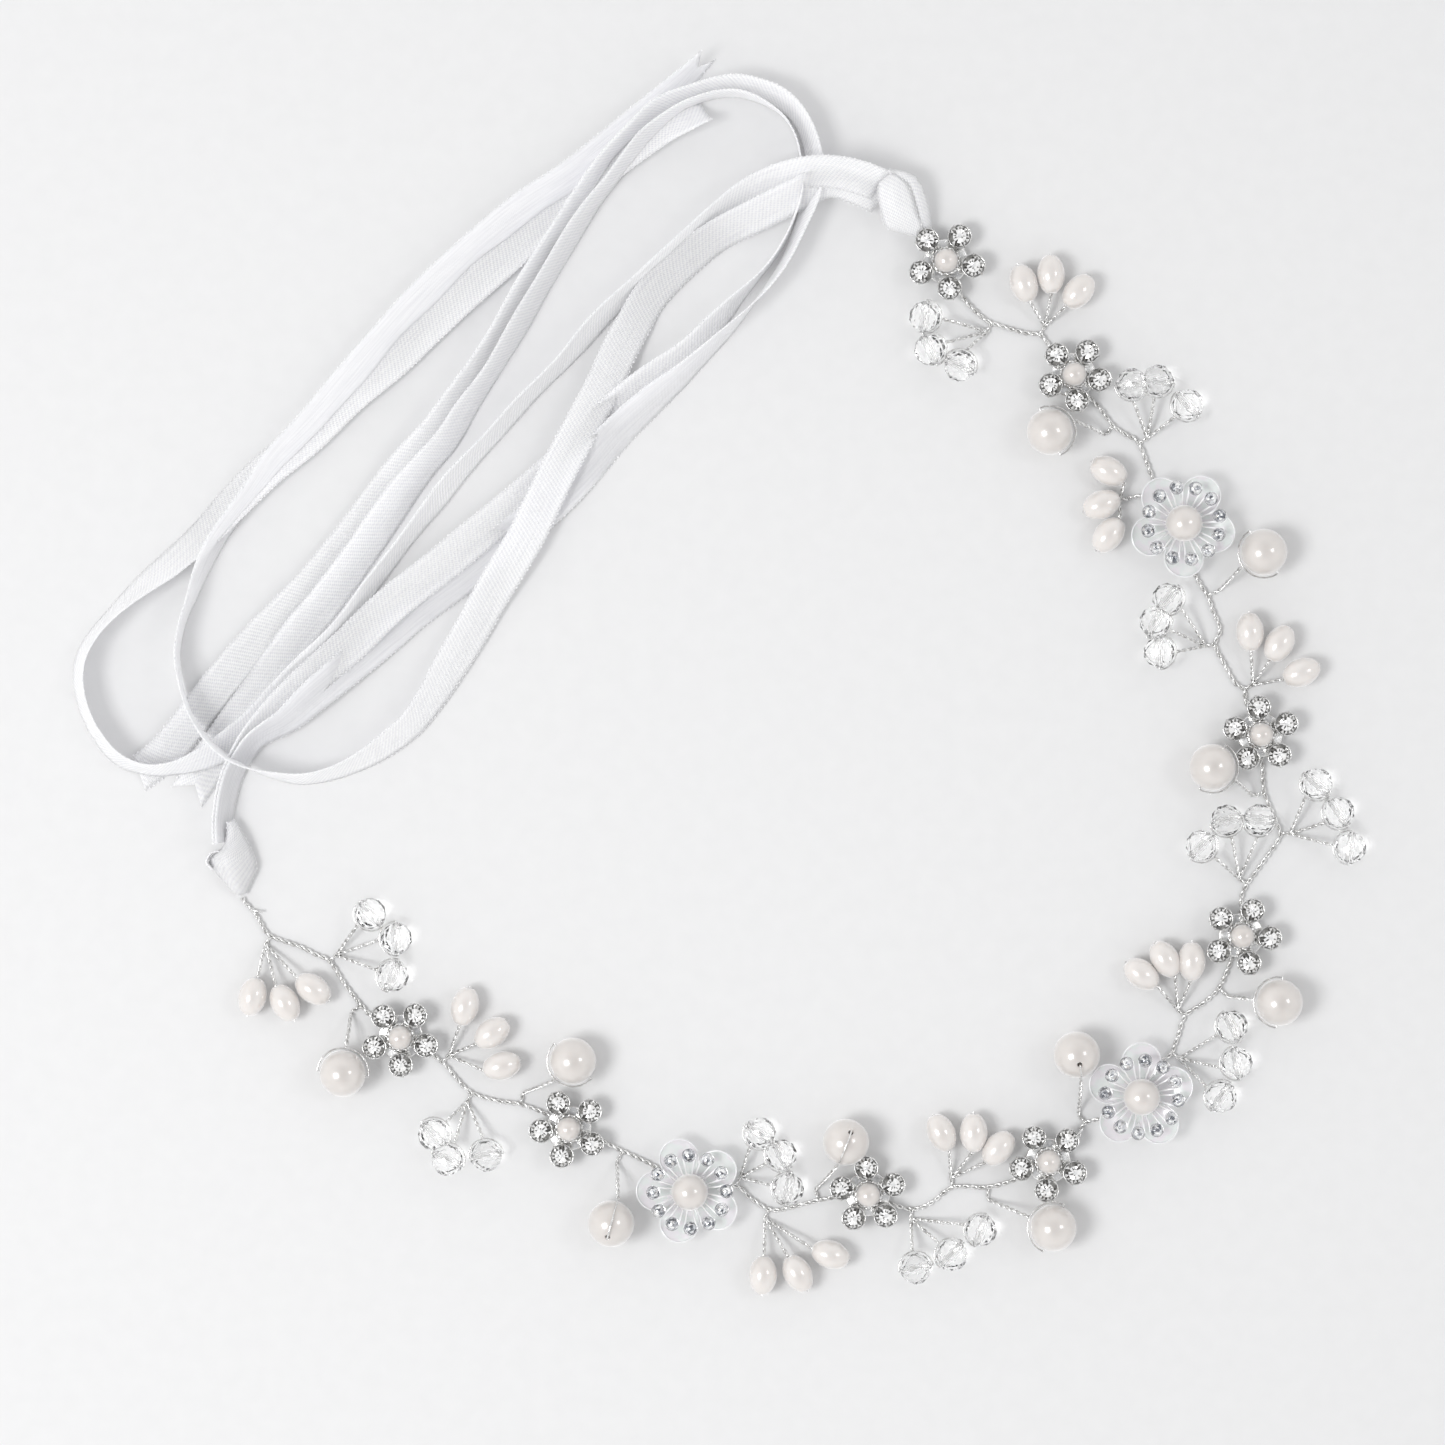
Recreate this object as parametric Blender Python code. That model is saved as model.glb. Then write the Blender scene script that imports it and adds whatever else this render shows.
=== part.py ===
"""A flower crown for the hair: a wire vine with beaded sprays and flowers, and four ribbon tails.

The sizes are in millimetres. They become metres where a mesh or a curve is made.
"""

import math

import bmesh
import bpy
from mathutils import Matrix, Vector

MM = 0.001
UP = Vector((0, 0, 1))

# The middle of the wire part, taken off every place in the tables.
LAYOUT_MIDDLE_X = 0.17
LAYOUT_MIDDLE_Y = 0.01

# Wire
VINE_RADIUS = 0.45
VINE_HEIGHT = VINE_RADIUS * math.cos(math.radians(30))
WIRE_SIDES = 6
TRUNK_RADIUS = 0.36
TRUNK_START = 0.95
TRUNK_END = 2.1
STEM_RADIUS = 0.33
LOOP_RADIUS = 0.17

# Beads
RICE_RADIUS = 2.45
RICE_HALF_LENGTH = 3.4
RICE_HEIGHT = 2.75
CRYSTAL_RADIUS = 2.8
CRYSTAL_HEIGHT = 3.0
PEARL_RADIUS = 4.0
PEARL_BORE_RADIUS = 0.56
PEARL_HEIGHT = 4.6
TIPPED_PEARL_HEIGHT = 5.0
PEARL_LOOP_RADIUS = 4.5
PEARL_SEGMENTS = 10
BEAD_SIDES = 6

# Rhinestone flowers
SETTING_SEGMENTS = 7
DISC_RADIUS = 4.4
DISC_BOTTOM = 1.25
DISC_TOP = 1.85
DISC_SEGMENTS = 10
CUP_PROFILE = ((0, 1.5), (1.3, 1.5), (2.05, 3.2), (1.5, 4.2), (0, 4.2))
SMALL_PEARL_PROFILE = ((0, 1.55), (1.0, 1.55), (1.0, 2.4), (1.8, 3.1), (2.0, 4.0), (1.5, 5.3), (0, 6.0))

# Sequin flowers
LOBES = 5
LOBE_CENTRE = 5.8
LOBE_RADIUS = 3.4
LOBE_STEPS = 6
PETAL_BASE = 2.4
PETAL_RISE = 0.023
PETAL_THICKNESS = 0.5
STAMENS = 12
STAMEN_ROUTE = (
    (1.0, 3.3, 0.22),
    (3.6, 4.5, 0.22),
    (5.0, 5.65, 0.25),
    (5.4, 5.8, 0.95),
    (6.3, 6.1, 1.25),
    (7.2, 6.4, 0.8),
)
STAMEN_SIDES = 4
HEART_PROFILE = (
    (0, 2.9),
    (1.4, 2.9),
    (1.45, 3.9),
    (2.4, 4.45),
    (3.1, 5.9),
    (3.0, 7.1),
    (2.0, 8.8),
    (0, 9.5),
)
HEART_SEGMENTS = 10

# Ribbons
RIBBON_TUBE_RADIUS = 0.7
RIBBON_STEPS = 52
KNOT_SEGMENTS = 10
KNOT_PROFILE_STEPS = 6

# The wire vine, from its left end to its upper end.
VINE_ROUTE = (
    (-97.2, -24.0), (-96.7, -24.9), (-95.3, -26.3), (-93.9, -28.5), (-92.3, -30.6), (-87.1, -32.5),
    (-84.5, -33.8), (-82.0, -35.0), (-79.4, -39.0), (-76.6, -42.6), (-73.7, -45.6), (-69.5, -48.2),
    (-66.4, -49.8), (-62.4, -52.6), (-59.9, -55.5), (-57.3, -57.9), (-53.3, -59.2), (-48.8, -59.9),
    (-44.3, -61.6), (-40.5, -63.7), (-34.2, -66.5), (-31.1, -68.0), (-25.3, -70.8), (-20.4, -74.3),
    (-15.6, -74.1), (-11.2, -74.1), (-8.8, -76.2), (-5.8, -78.1), (-3.0, -78.1), (2.9, -76.6),
    (11.2, -75.3), (14.9, -76.9), (19.1, -78.1), (22.4, -77.1), (26.4, -74.3), (32.3, -74.3),
    (37.8, -72.7), (42.7, -69.9), (47.8, -65.8), (49.3, -63.2), (53.7, -62.1), (58.4, -59.9),
    (60.6, -55.7), (62.7, -52.4), (64.3, -51.0), (65.5, -48.0), (66.7, -44.5), (69.9, -42.3),
    (72.5, -39.8), (73.9, -36.9), (76.3, -30.4), (76.5, -26.4), (76.5, -23.8), (77.5, -21.6),
    (80.0, -18.1), (82.6, -14.4), (83.3, -12.9), (82.4, -10.3), (80.5, -5.7), (80.1, -0.9),
    (79.4, 4.0), (77.3, 10.1), (77.0, 12.2), (75.4, 13.4), (73.5, 16.7), (71.9, 20.0),
    (72.8, 22.6), (71.6, 25.8), (70.6, 28.5), (68.5, 32.2), (66.0, 40.0), (62.9, 45.8),
    (61.0, 49.2), (58.7, 55.0), (56.5, 56.5), (54.2, 58.1), (51.9, 61.1), (47.1, 66.5),
    (43.1, 72.0), (41.5, 73.9), (38.7, 74.3), (33.0, 76.0), (30.7, 77.6), (27.9, 80.7),
    (25.0, 86.1), (23.2, 89.3), (21.5, 92.0),
)
# The short branch that carries the spray beside the upper sequin flower.
VINE_BRANCH = ((62.3, 46.9), (60.0, 46.1), (56.9, 45.5))

# Each spray: its junction on the vine, then three beads as (x, y, heading in degrees).
RICE_SPRAYS = (
    ((41.5, 73.9), ((38.5, 82.6, 107), (43.2, 84.2, 91), (48.0, 81.2, 50))),
    ((56.9, 45.5), ((53.2, 50.1, 152), (52.0, 44.3, -159), (53.2, 39.0, -129))),
    ((77.0, 12.2), ((77.7, 22.2, 93), (82.8, 20.2, 60), (86.6, 15.2, 22))),
    ((66.7, -44.5), ((58.9, -37.1, 143), (63.0, -34.5, 122), (67.6, -34.9, 89))),
    ((26.4, -74.3), ((24.2, -64.6, 115), (29.8, -64.6, 90), (34.1, -67.3, 48))),
    ((-5.8, -78.1), ((-6.7, -89.3, -93), (-0.7, -89.0, -61), (5.0, -85.7, -18))),
    ((-62.4, -52.6), ((-58.4, -42.7, 75), (-53.7, -47.3, 35), (-52.0, -53.0, 14))),
    ((-92.3, -30.6), ((-95.2, -41.0, -105), (-89.6, -42.1, -62), (-84.7, -39.7, -35))),
)
CRYSTAL_SPRAYS = (
    ((33.0, 76.0), ((21.3, 76.8, 173), (22.2, 71.1, -156), (27.4, 68.3, -114))),
    ((58.7, 55.0), ((57.2, 65.2, 96), (61.7, 65.8, 79), (66.9, 61.6, 44))),
    ((71.9, 20.0), ((63.4, 28.0, 142), (61.2, 24.0, 151), (61.9, 18.7, -178))),
    ((83.3, -12.9), ((89.3, -4.1, 49), (93.1, -9.1, 35), (95.1, -15.2, -8))),
    ((77.5, -21.6), ((69.2, -14.8, 139), (73.6, -10.4, 107), (79.3, -10.3, 84))),
    ((64.3, -51.0), ((74.6, -46.1, 30), (75.4, -52.5, 13), (72.7, -58.4, -35))),
    ((19.1, -78.1), ((19.8, -88.1, -78), (26.0, -85.8, -44), (31.1, -81.5, -19))),
    ((-11.2, -74.1), ((-7.2, -64.6, 55), (-3.5, -68.4, 29), (-2.3, -74.3, -12))),
    ((-57.3, -57.9), ((-63.8, -64.9, -134), (-61.4, -69.3, -113), (-54.7, -68.6, -81))),
    ((-82.0, -35.0), ((-74.7, -26.6, 42), (-70.2, -30.9, 5), (-70.8, -37.4, -20))),
)
# Each round pearl: its junction, its middle, the heading from it back to its stem,
# and the tilt of its bore above that heading, or None where the bore lies level and across.
PEARL_BRANCHES = (
    ((54.2, 58.1), (42.9, 56.8), 24, None),
    ((70.6, 28.5), (79.9, 36.0), -146, None),
    ((80.5, -5.7), (71.0, -1.2), -31, None),
    ((72.5, -39.8), (82.6, -41.9), 173, None),
    ((49.3, -63.2), (47.5, -50.9), -81, 68),
    ((32.3, -74.3), (43.5, -80.9), 156, None),
    ((2.9, -76.6), (7.6, -66.0), -111, 123),
    ((-31.1, -68.0), (-33.0, -80.1), 75, 121),
    ((-48.8, -59.9), (-39.6, -52.0), -133, None),
    ((-76.6, -42.6), (-79.4, -54.2), 83, None),
)
# Each rhinestone flower: its middle, the turn of its five stones, the radius of their ring.
RHINESTONE_FLOWERS = (
    ((25.0, 86.5), 61.2, 4.8),
    ((47.2, 66.8), 60.2, 4.5),
    ((79.6, 4.4), 23.4, 4.7),
    ((76.3, -30.5), 68.4, 4.8),
    ((42.8, -69.6), 49.4, 4.9),
    ((11.5, -75.3), 22.0, 4.7),
    ((-40.4, -63.9), 39.9, 4.8),
    ((-69.6, -48.1), 55.8, 4.7),
)
# Each sequin flower: its middle, the turn of its petals, the turn of its stamens.
SEQUIN_FLOWERS = (
    ((65.9, 40.9), 56.9, 11.8),
    ((58.6, -58.1), 15.6, 24.4),
    ((-19.4, -74.5), 36.7, 1.2),
)

# The four ribbon tails, from the knot to the cut end.
RIGHT_TAIL_OUTER = (
    (13.5, 99.4, 5.2), (10.5, 100.4, 6.4), (6.7, 101.3, 6.8), (1.8, 101.6, 6.8), (-4.8, 100.4, 5.0),
    (-10.9, 97.8, 3.8), (-16.3, 94.0, 3.3), (-22.0, 88.7, 3.0), (-28.8, 82.6, 3.0), (-34.9, 76.7, 3.0),
    (-41.3, 69.3, 3.2), (-47.6, 63.0, 3.2), (-54.0, 55.9, 3.2), (-59.6, 49.8, 3.2), (-63.8, 44.5, 3.2),
    (-67.9, 39.3, 3.2), (-75.1, 29.9, 3.2), (-80.6, 22.6, 3.0), (-87.8, 14.6, 2.4), (-93.2, 8.5, 2.1),
    (-96.8, 4.9, 2.1), (-100.8, 1.9, 3.2), (-105.0, -0.2, 3.6), (-109.5, -1.4, 3.6),
    (-114.1, -1.4, 3.4), (-118.6, 0.5, 3.2), (-121.9, 4.3, 3.2), (-124.1, 8.7, 3.2),
    (-125.2, 13.6, 3.2), (-124.7, 17.9, 3.2), (-122.4, 21.9, 3.2), (-118.6, 26.1, 3.0),
    (-113.9, 30.4, 2.6), (-109.0, 34.3, 2.2), (-103.1, 39.7, 1.6), (-97.7, 45.6, 1.0),
    (-92.7, 50.5, 0.9), (-86.0, 55.9, 0.9), (-78.7, 63.0, 0.9), (-71.6, 68.9, 0.9), (-65.2, 75.0, 0.9),
    (-59.9, 79.9, 0.9), (-55.4, 83.9, 0.9), (-50.7, 88.0, 0.9), (-46.0, 92.6, 0.9), (-42.0, 96.0, 0.9),
    (-37.7, 99.9, 0.9), (-33.0, 103.9, 0.9), (-28.1, 107.5, 0.9), (-23.8, 110.1, 1.2),
    (-19.4, 111.4, 2.2), (-15.6, 112.4, 2.8),
)
RIGHT_TAIL_INNER = (
    (13.7, 97.4, 2.9), (9.8, 99.0, 4.4), (4.8, 100.2, 4.9), (-0.6, 98.0, 4.6), (-7.4, 94.7, 3.4),
    (-13.3, 91.9, 1.8), (-18.4, 88.4, 1.6), (-23.2, 84.2, 1.6), (-26.9, 79.9, 1.6), (-29.1, 75.9, 1.8),
    (-31.6, 71.2, 2.2), (-34.5, 64.7, 2.8), (-38.2, 57.8, 3.0), (-41.7, 51.2, 3.1), (-45.3, 43.8, 3.1),
    (-47.9, 38.5, 2.9), (-50.9, 33.6, 2.4), (-53.9, 28.7, 1.9), (-57.5, 22.3, 1.7), (-61.2, 16.2, 2.0),
    (-64.1, 11.3, 2.4), (-67.8, 6.3, 2.8), (-73.3, 1.9, 3.2), (-77.9, -0.7, 3.3), (-82.4, -2.4, 3.4),
    (-86.9, -3.1, 3.6), (-91.4, -2.4, 4.2), (-95.6, -1.2, 5.0), (-98.9, 0.5, 5.4), (-101.7, 2.8, 5.6),
    (-104.1, 5.7, 5.2), (-106.1, 9.2, 4.6), (-107.4, 13.7, 3.8), (-108.0, 18.3, 3.4),
    (-107.3, 23.3, 3.2), (-105.7, 27.8, 3.2), (-103.8, 32.9, 3.2), (-101.5, 37.6, 3.2),
    (-98.6, 41.9, 3.2), (-95.1, 46.5, 3.1), (-90.7, 52.4, 3.0), (-85.2, 58.1, 2.6), (-78.7, 65.6, 2.3),
    (-72.6, 72.7, 2.2), (-67.1, 78.8, 2.2), (-61.2, 84.7, 2.2), (-55.8, 89.6, 2.2), (-47.8, 96.0, 2.2),
    (-40.5, 100.7, 2.2), (-34.4, 105.4, 1.8), (-29.3, 109.8, 1.4), (-24.6, 114.0, 1.4),
    (-20.4, 117.8, 1.8), (-16.1, 122.0, 2.8),
)
LEFT_TAIL_INNER = (
    (-100.7, -14.1, 3.0), (-100.8, -10.8, 3.2), (-100.3, -7.0, 3.2), (-99.3, -3.0, 3.0),
    (-97.5, 1.0, 3.2), (-95.1, 4.7, 3.9), (-91.4, 8.5, 4.3), (-86.9, 12.4, 3.8), (-82.4, 16.4, 3.2),
    (-77.9, 20.5, 2.8), (-73.7, 24.7, 2.6), (-69.2, 28.7, 2.6), (-63.4, 33.2, 2.4), (-57.2, 38.3, 1.8),
    (-51.1, 43.3, 1.1), (-45.3, 48.2, 0.9), (-39.4, 53.6, 0.9), (-33.8, 59.5, 1.4), (-26.7, 65.6, 2.4),
    (-19.4, 71.2, 3.0), (-11.7, 79.6, 3.2), (-6.7, 85.0, 3.2), (-3.4, 89.6, 3.2), (-1.1, 94.8, 2.9),
    (-0.1, 99.5, 2.6), (-0.3, 103.9, 2.8), (-1.1, 107.9, 3.2), (-3.2, 111.4, 3.2), (-6.7, 113.8, 3.2),
    (-10.5, 115.2, 3.2), (-14.2, 115.2, 3.2), (-17.7, 114.3, 3.2), (-21.1, 112.8, 3.3),
    (-24.6, 110.1, 3.4), (-27.2, 107.7, 3.4), (-29.8, 104.4, 3.4), (-33.0, 100.2, 3.3),
    (-35.8, 96.7, 3.3), (-38.4, 92.9, 3.2), (-41.0, 88.7, 3.2), (-45.8, 80.6, 3.2), (-49.7, 73.8, 3.2),
    (-53.9, 66.8, 3.0), (-58.0, 60.9, 2.8), (-61.5, 55.3, 2.6), (-65.9, 50.3, 2.4), (-70.0, 45.1, 2.2),
    (-76.6, 35.5, 1.8), (-82.6, 27.5, 1.4), (-86.9, 22.4, 1.1), (-91.8, 15.5, 0.9), (-94.4, 11.8, 0.9),
    (-97.7, 7.3, 0.8), (-101.4, 1.9, 0.8), (-104.1, -2.3, 0.8), (-106.9, -6.4, 0.8),
)
LEFT_TAIL_OUTER = (
    (-96.8, -14.4, 3.0), (-97.9, -11.3, 3.2), (-98.0, -7.5, 3.2), (-97.2, -3.8, 3.0),
    (-95.4, -0.3, 3.0), (-93.0, 3.1, 3.2), (-89.3, 7.0, 3.6), (-85.0, 10.8, 3.2), (-80.5, 14.6, 2.4),
    (-76.0, 18.4, 1.6), (-71.9, 21.9, 1.0), (-67.6, 25.6, 0.9), (-61.9, 29.8, 0.9), (-55.6, 34.6, 0.9),
    (-49.3, 39.7, 0.9), (-43.4, 44.7, 0.9), (-37.5, 50.8, 0.9), (-31.6, 57.4, 1.4), (-24.6, 63.9, 2.2),
    (-20.2, 67.6, 2.8), (-10.2, 77.3, 3.2), (-3.1, 85.5, 3.2), (0.9, 93.3, 3.0), (2.9, 98.3, 2.6),
    (3.6, 103.0, 2.6), (2.7, 108.2, 3.0), (0.3, 112.6, 3.2), (-3.2, 115.7, 3.2), (-7.0, 117.4, 3.2),
    (-11.0, 118.1, 3.2), (-14.9, 117.6, 3.2), (-18.9, 116.4, 3.3), (-21.8, 115.0, 3.4),
    (-25.0, 112.9, 3.4), (-27.9, 110.3, 3.4), (-32.3, 106.0, 3.3), (-35.1, 102.3, 3.3),
    (-37.8, 98.1, 3.2), (-40.6, 93.8, 3.2), (-43.2, 89.8, 3.2), (-48.1, 81.8, 3.2), (-52.3, 74.6, 3.2),
    (-56.5, 67.7, 3.0), (-60.5, 61.8, 2.6), (-63.9, 56.7, 2.2), (-68.3, 51.5, 1.6), (-72.3, 46.5, 1.2),
    (-79.1, 37.4, 0.9), (-85.0, 30.4, 0.9), (-89.0, 26.3, 0.9), (-93.9, 21.4, 0.9), (-99.3, 15.3, 0.9),
    (-104.7, 8.5, 0.9), (-109.9, 1.9, 0.8), (-113.0, -0.9, 0.8), (-115.8, -2.8, 0.8),
)
# Each knot: its middle, its half lengths, and the heading of the longest one.
RIGHT_KNOT = ((18.2, 96.4, 2.9), (4.2, 3.6, 2.6), -49)
LEFT_KNOT = ((-98.6, -18.8, 2.9), (3.9, 3.7, 2.6), -80)

# Looks of each kind of piece: colour, metallic, roughness.
LOOKS = {
    "silver_wire": ((0.80, 0.81, 0.84, 1), 1.0, 0.2),
    "pearl": ((0.88, 0.84, 0.82, 1), 0.0, 0.2),
    "crystal": ((0.85, 0.87, 0.89, 1), 0.0, 0.05),
    "sequin": ((0.87, 0.86, 0.88, 1), 0.0, 0.15),
    "stamen": ((0.78, 0.79, 0.82, 1), 0.0, 0.1),
    "ribbon": ((0.86, 0.87, 0.89, 1), 0.0, 0.5),
}


def clear_scene():
    for obj in list(bpy.data.objects):
        bpy.data.objects.remove(obj, do_unlink=True)


def place(point, height):
    """A table's place as a point in the model, still in millimetres."""
    return Vector((point[0] - LAYOUT_MIDDLE_X, point[1] - LAYOUT_MIDDLE_Y, height))


def heading(degrees):
    angle = math.radians(degrees)
    return Vector((math.cos(angle), math.sin(angle), 0))


def give_look(obj, look):
    colour, metallic, roughness = LOOKS[look]
    material = bpy.data.materials.new(obj.name + "_look")
    material.use_nodes = True
    shader = material.node_tree.nodes["Principled BSDF"]
    shader.inputs["Base Color"].default_value = colour
    shader.inputs["Metallic"].default_value = metallic
    shader.inputs["Roughness"].default_value = roughness
    obj.data.materials.clear()
    obj.data.materials.append(material)


def new_mesh(name, body):
    """A mesh from (points, faces) in millimetres, with its normals facing out."""
    points, faces = body
    work = bmesh.new()
    corners = [work.verts.new(Vector(point) * MM) for point in points]
    for face in faces:
        work.faces.new([corners[i] for i in face])
    bmesh.ops.recalc_face_normals(work, faces=work.faces)
    mesh = bpy.data.meshes.new(name)
    work.to_mesh(mesh)
    work.free()
    return mesh


def add_node(name, bodies, look, origin=None):
    """One object from bodies that overlap, joined into one closed solid."""
    first = bpy.data.objects.new(name, new_mesh(name, bodies[0]))
    bpy.context.scene.collection.objects.link(first)
    if len(bodies) > 1:
        others = bpy.data.collections.new(name + "_others")
        bpy.context.scene.collection.children.link(others)
        for body in bodies[1:]:
            helper = bpy.data.objects.new(name + "_helper", new_mesh(name + "_helper", body))
            others.objects.link(helper)
        join = first.modifiers.new("join", "BOOLEAN")
        join.operation = "UNION"
        join.solver = "EXACT"
        join.operand_type = "COLLECTION"
        join.collection = others
        graph = bpy.context.evaluated_depsgraph_get()
        joined = bpy.data.meshes.new_from_object(first.evaluated_get(graph))
        first.modifiers.remove(join)
        first.data = joined
        for helper in list(others.objects):
            bpy.data.objects.remove(helper, do_unlink=True)
        bpy.data.collections.remove(others)
    if origin is not None:
        first.data.transform(Matrix.Translation(-origin * MM))
        first.location = origin * MM
    give_look(first, look)
    first.data.shade_smooth()
    return first


def tube(points, radii, sides, across=UP, closed=False):
    """A round tube through the points. The vector across is never along it."""
    count = len(points)
    corners = []
    for i, point in enumerate(points):
        before = points[(i - 1) % count] if closed or i > 0 else point
        after = points[(i + 1) % count] if closed or i < count - 1 else point
        along = (after - before).normalized()
        side = across.cross(along).normalized()
        top = along.cross(side)
        for j in range(sides):
            angle = 2 * math.pi * (j + 0.5) / sides + math.pi / 2
            corners.append(point + radii[i] * (side * math.cos(angle) + top * math.sin(angle)))
    faces = []
    for i in range(count if closed else count - 1):
        here, there = i * sides, (i + 1) % count * sides
        for j in range(sides):
            k = (j + 1) % sides
            faces.append((here + j, here + k, there + k, there + j))
    if not closed:
        faces.append(tuple(range(sides)))
        faces.append(tuple(range(len(corners) - sides, len(corners))))
    return corners, faces


def lathe(profile, segments, frame, closed=False):
    """The profile of (radius, height) pairs turned about the frame's Z axis."""
    corners = []
    rings = []
    for radius, height in profile:
        turns = segments if radius > 0 else 1
        rings.append(range(len(corners), len(corners) + turns))
        for j in range(turns):
            angle = 2 * math.pi * j / segments
            corners.append(frame @ Vector((radius * math.cos(angle), radius * math.sin(angle), height)))
    faces = []
    for i in range(len(rings) if closed else len(rings) - 1):
        low, high = rings[i], rings[(i + 1) % len(rings)]
        for j in range(segments):
            k = (j + 1) % segments
            if len(low) == 1:
                faces.append((low[0], high[j], high[k]))
            elif len(high) == 1:
                faces.append((low[j], low[k], high[0]))
            else:
                faces.append((low[j], low[k], high[k], high[j]))
    if not closed:
        for ring in (rings[0], rings[-1]):
            if len(ring) > 1:
                faces.append(tuple(ring))
    return corners, faces


def frame_at(origin, axis=UP):
    return Matrix.Translation(origin) @ UP.rotation_difference(axis).to_matrix().to_4x4()


def vine_direction(junction):
    """The heading of the vine where it passes the junction, or across the branch at its tip."""
    if junction == VINE_BRANCH[-1]:
        last = Vector(VINE_BRANCH[-1]) - Vector(VINE_BRANCH[-2])
        return Vector((-last.y, last.x, 0)).normalized()
    i = VINE_ROUTE.index(junction)
    along = Vector(VINE_ROUTE[i + 1]) - Vector(VINE_ROUTE[i - 1])
    return Vector((along.x, along.y, 0)).normalized()


def trunk_points(junction, aim):
    """The first points of a branch: it leaves the vine squarely, on the side of the aim."""
    middle = place(junction, VINE_HEIGHT)
    along = vine_direction(junction)
    out = Vector((-along.y, along.x, 0))
    if out.dot(aim - middle) < 0:
        out = -out
    return middle, middle + out * TRUNK_START, middle + out * TRUNK_END


def make_vine():
    route = [place(point, VINE_HEIGHT) for point in VINE_ROUTE]
    branch = [place(point, VINE_HEIGHT) for point in VINE_BRANCH]
    bodies = [
        tube(route, [VINE_RADIUS] * len(route), WIRE_SIDES),
        tube(branch, [VINE_RADIUS] * len(branch), WIRE_SIDES),
    ]
    add_node("vine_wire", bodies, "silver_wire")


def make_spray(name, junction, beads, height, lengths, radii, look):
    """Three beads, each at the end of its wire, on one short trunk."""
    middle_of_beads = sum((place(bead, height) for bead in beads), Vector()) / len(beads)
    origin, start, end = trunk_points(junction, middle_of_beads)
    bodies = [tube([start, end], [TRUNK_RADIUS] * 2, WIRE_SIDES)]
    for x, y, degrees in beads:
        bead = place((x, y), height)
        aim = heading(degrees)
        foot = bead + aim * lengths[0]
        root = start.lerp(end, 0.6)
        bend = root.lerp(foot, 0.5) + UP * 0.3
        points = [root, bend] + [bead + aim * length for length in lengths]
        thickness = [STEM_RADIUS, STEM_RADIUS] + list(radii)
        bodies.append(tube(points, thickness, BEAD_SIDES))
    add_node(name, bodies, look, origin)


def make_rice_sprays():
    half = RICE_HALF_LENGTH
    lengths = (-half - 0.5, -half, -half * 0.6, 0, half * 0.6, half)
    radii = (STEM_RADIUS, 0.8, RICE_RADIUS * 0.84, RICE_RADIUS, RICE_RADIUS * 0.84, 0.8)
    for number, (junction, beads) in enumerate(RICE_SPRAYS, 1):
        make_spray(f"rice_pearl_spray_{number}", junction, beads, RICE_HEIGHT, lengths, radii, "pearl")


def make_crystal_sprays():
    size = CRYSTAL_RADIUS
    lengths = (-size - 0.5, -size, -size * 0.45, size * 0.45, size)
    radii = (STEM_RADIUS, size * 0.45, size, size, size * 0.45)
    for number, (junction, beads) in enumerate(CRYSTAL_SPRAYS, 1):
        make_spray(f"crystal_spray_{number}", junction, beads, CRYSTAL_HEIGHT, lengths, radii, "crystal")


def pearl_profile():
    """From one mouth of the bore round to the other. The closing side is the bore."""
    first = math.asin(PEARL_BORE_RADIUS / PEARL_RADIUS)
    steps = 6
    profile = []
    for i in range(steps + 1):
        angle = first + (math.pi - 2 * first) * i / steps
        profile.append((PEARL_RADIUS * math.sin(angle), -PEARL_RADIUS * math.cos(angle)))
    return profile


def make_pearls():
    for number, (junction, middle, back, tilt) in enumerate(PEARL_BRANCHES, 1):
        height = PEARL_HEIGHT if tilt is None else TIPPED_PEARL_HEIGHT
        centre = place(middle, height)
        toward_stem = heading(back)
        second = UP if tilt is not None else UP.cross(toward_stem)
        bore_turn = math.radians(90 if tilt is None else tilt)
        bore = toward_stem * math.cos(bore_turn) + second * math.sin(bore_turn)
        plane = toward_stem.cross(second)
        pearl = lathe(pearl_profile(), PEARL_SEGMENTS, frame_at(centre, bore), closed=True)
        add_node(f"round_pearl_{number}", [pearl], "pearl", centre)

        loop = []
        arc_steps = 8
        for i in range(arc_steps + 1):
            turn = bore_turn - math.pi * i / arc_steps
            arm = toward_stem * math.cos(turn) + second * math.sin(turn)
            loop.append(centre + arm * PEARL_LOOP_RADIUS)
        node = centre + toward_stem * (PEARL_LOOP_RADIUS + 0.15)
        origin, start, end = trunk_points(junction, node)
        bend = end.lerp(node, 0.5) + UP * 0.4
        bodies = [
            tube([start, end, bend, node], [STEM_RADIUS] * 4, WIRE_SIDES),
            tube(loop, [LOOP_RADIUS] * len(loop), WIRE_SIDES, plane, closed=True),
        ]
        add_node(f"pearl_stem_{number}", bodies, "silver_wire", origin)


def make_rhinestone_flowers():
    disc_profile = ((0, DISC_BOTTOM), (DISC_RADIUS, DISC_BOTTOM), (DISC_RADIUS, DISC_TOP), (0, DISC_TOP))
    for number, (middle, turn, ring) in enumerate(RHINESTONE_FLOWERS, 1):
        centre = place(middle, 0)
        bodies = [
            lathe(disc_profile, DISC_SEGMENTS, frame_at(centre)),
            lathe(SMALL_PEARL_PROFILE, SETTING_SEGMENTS, frame_at(centre)),
        ]
        for i in range(LOBES):
            cup = centre + heading(turn + i * 360 / LOBES) * ring
            bodies.append(lathe(CUP_PROFILE, SETTING_SEGMENTS, frame_at(cup)))
        add_node(f"rhinestone_flower_{number}", bodies, "crystal")


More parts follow.
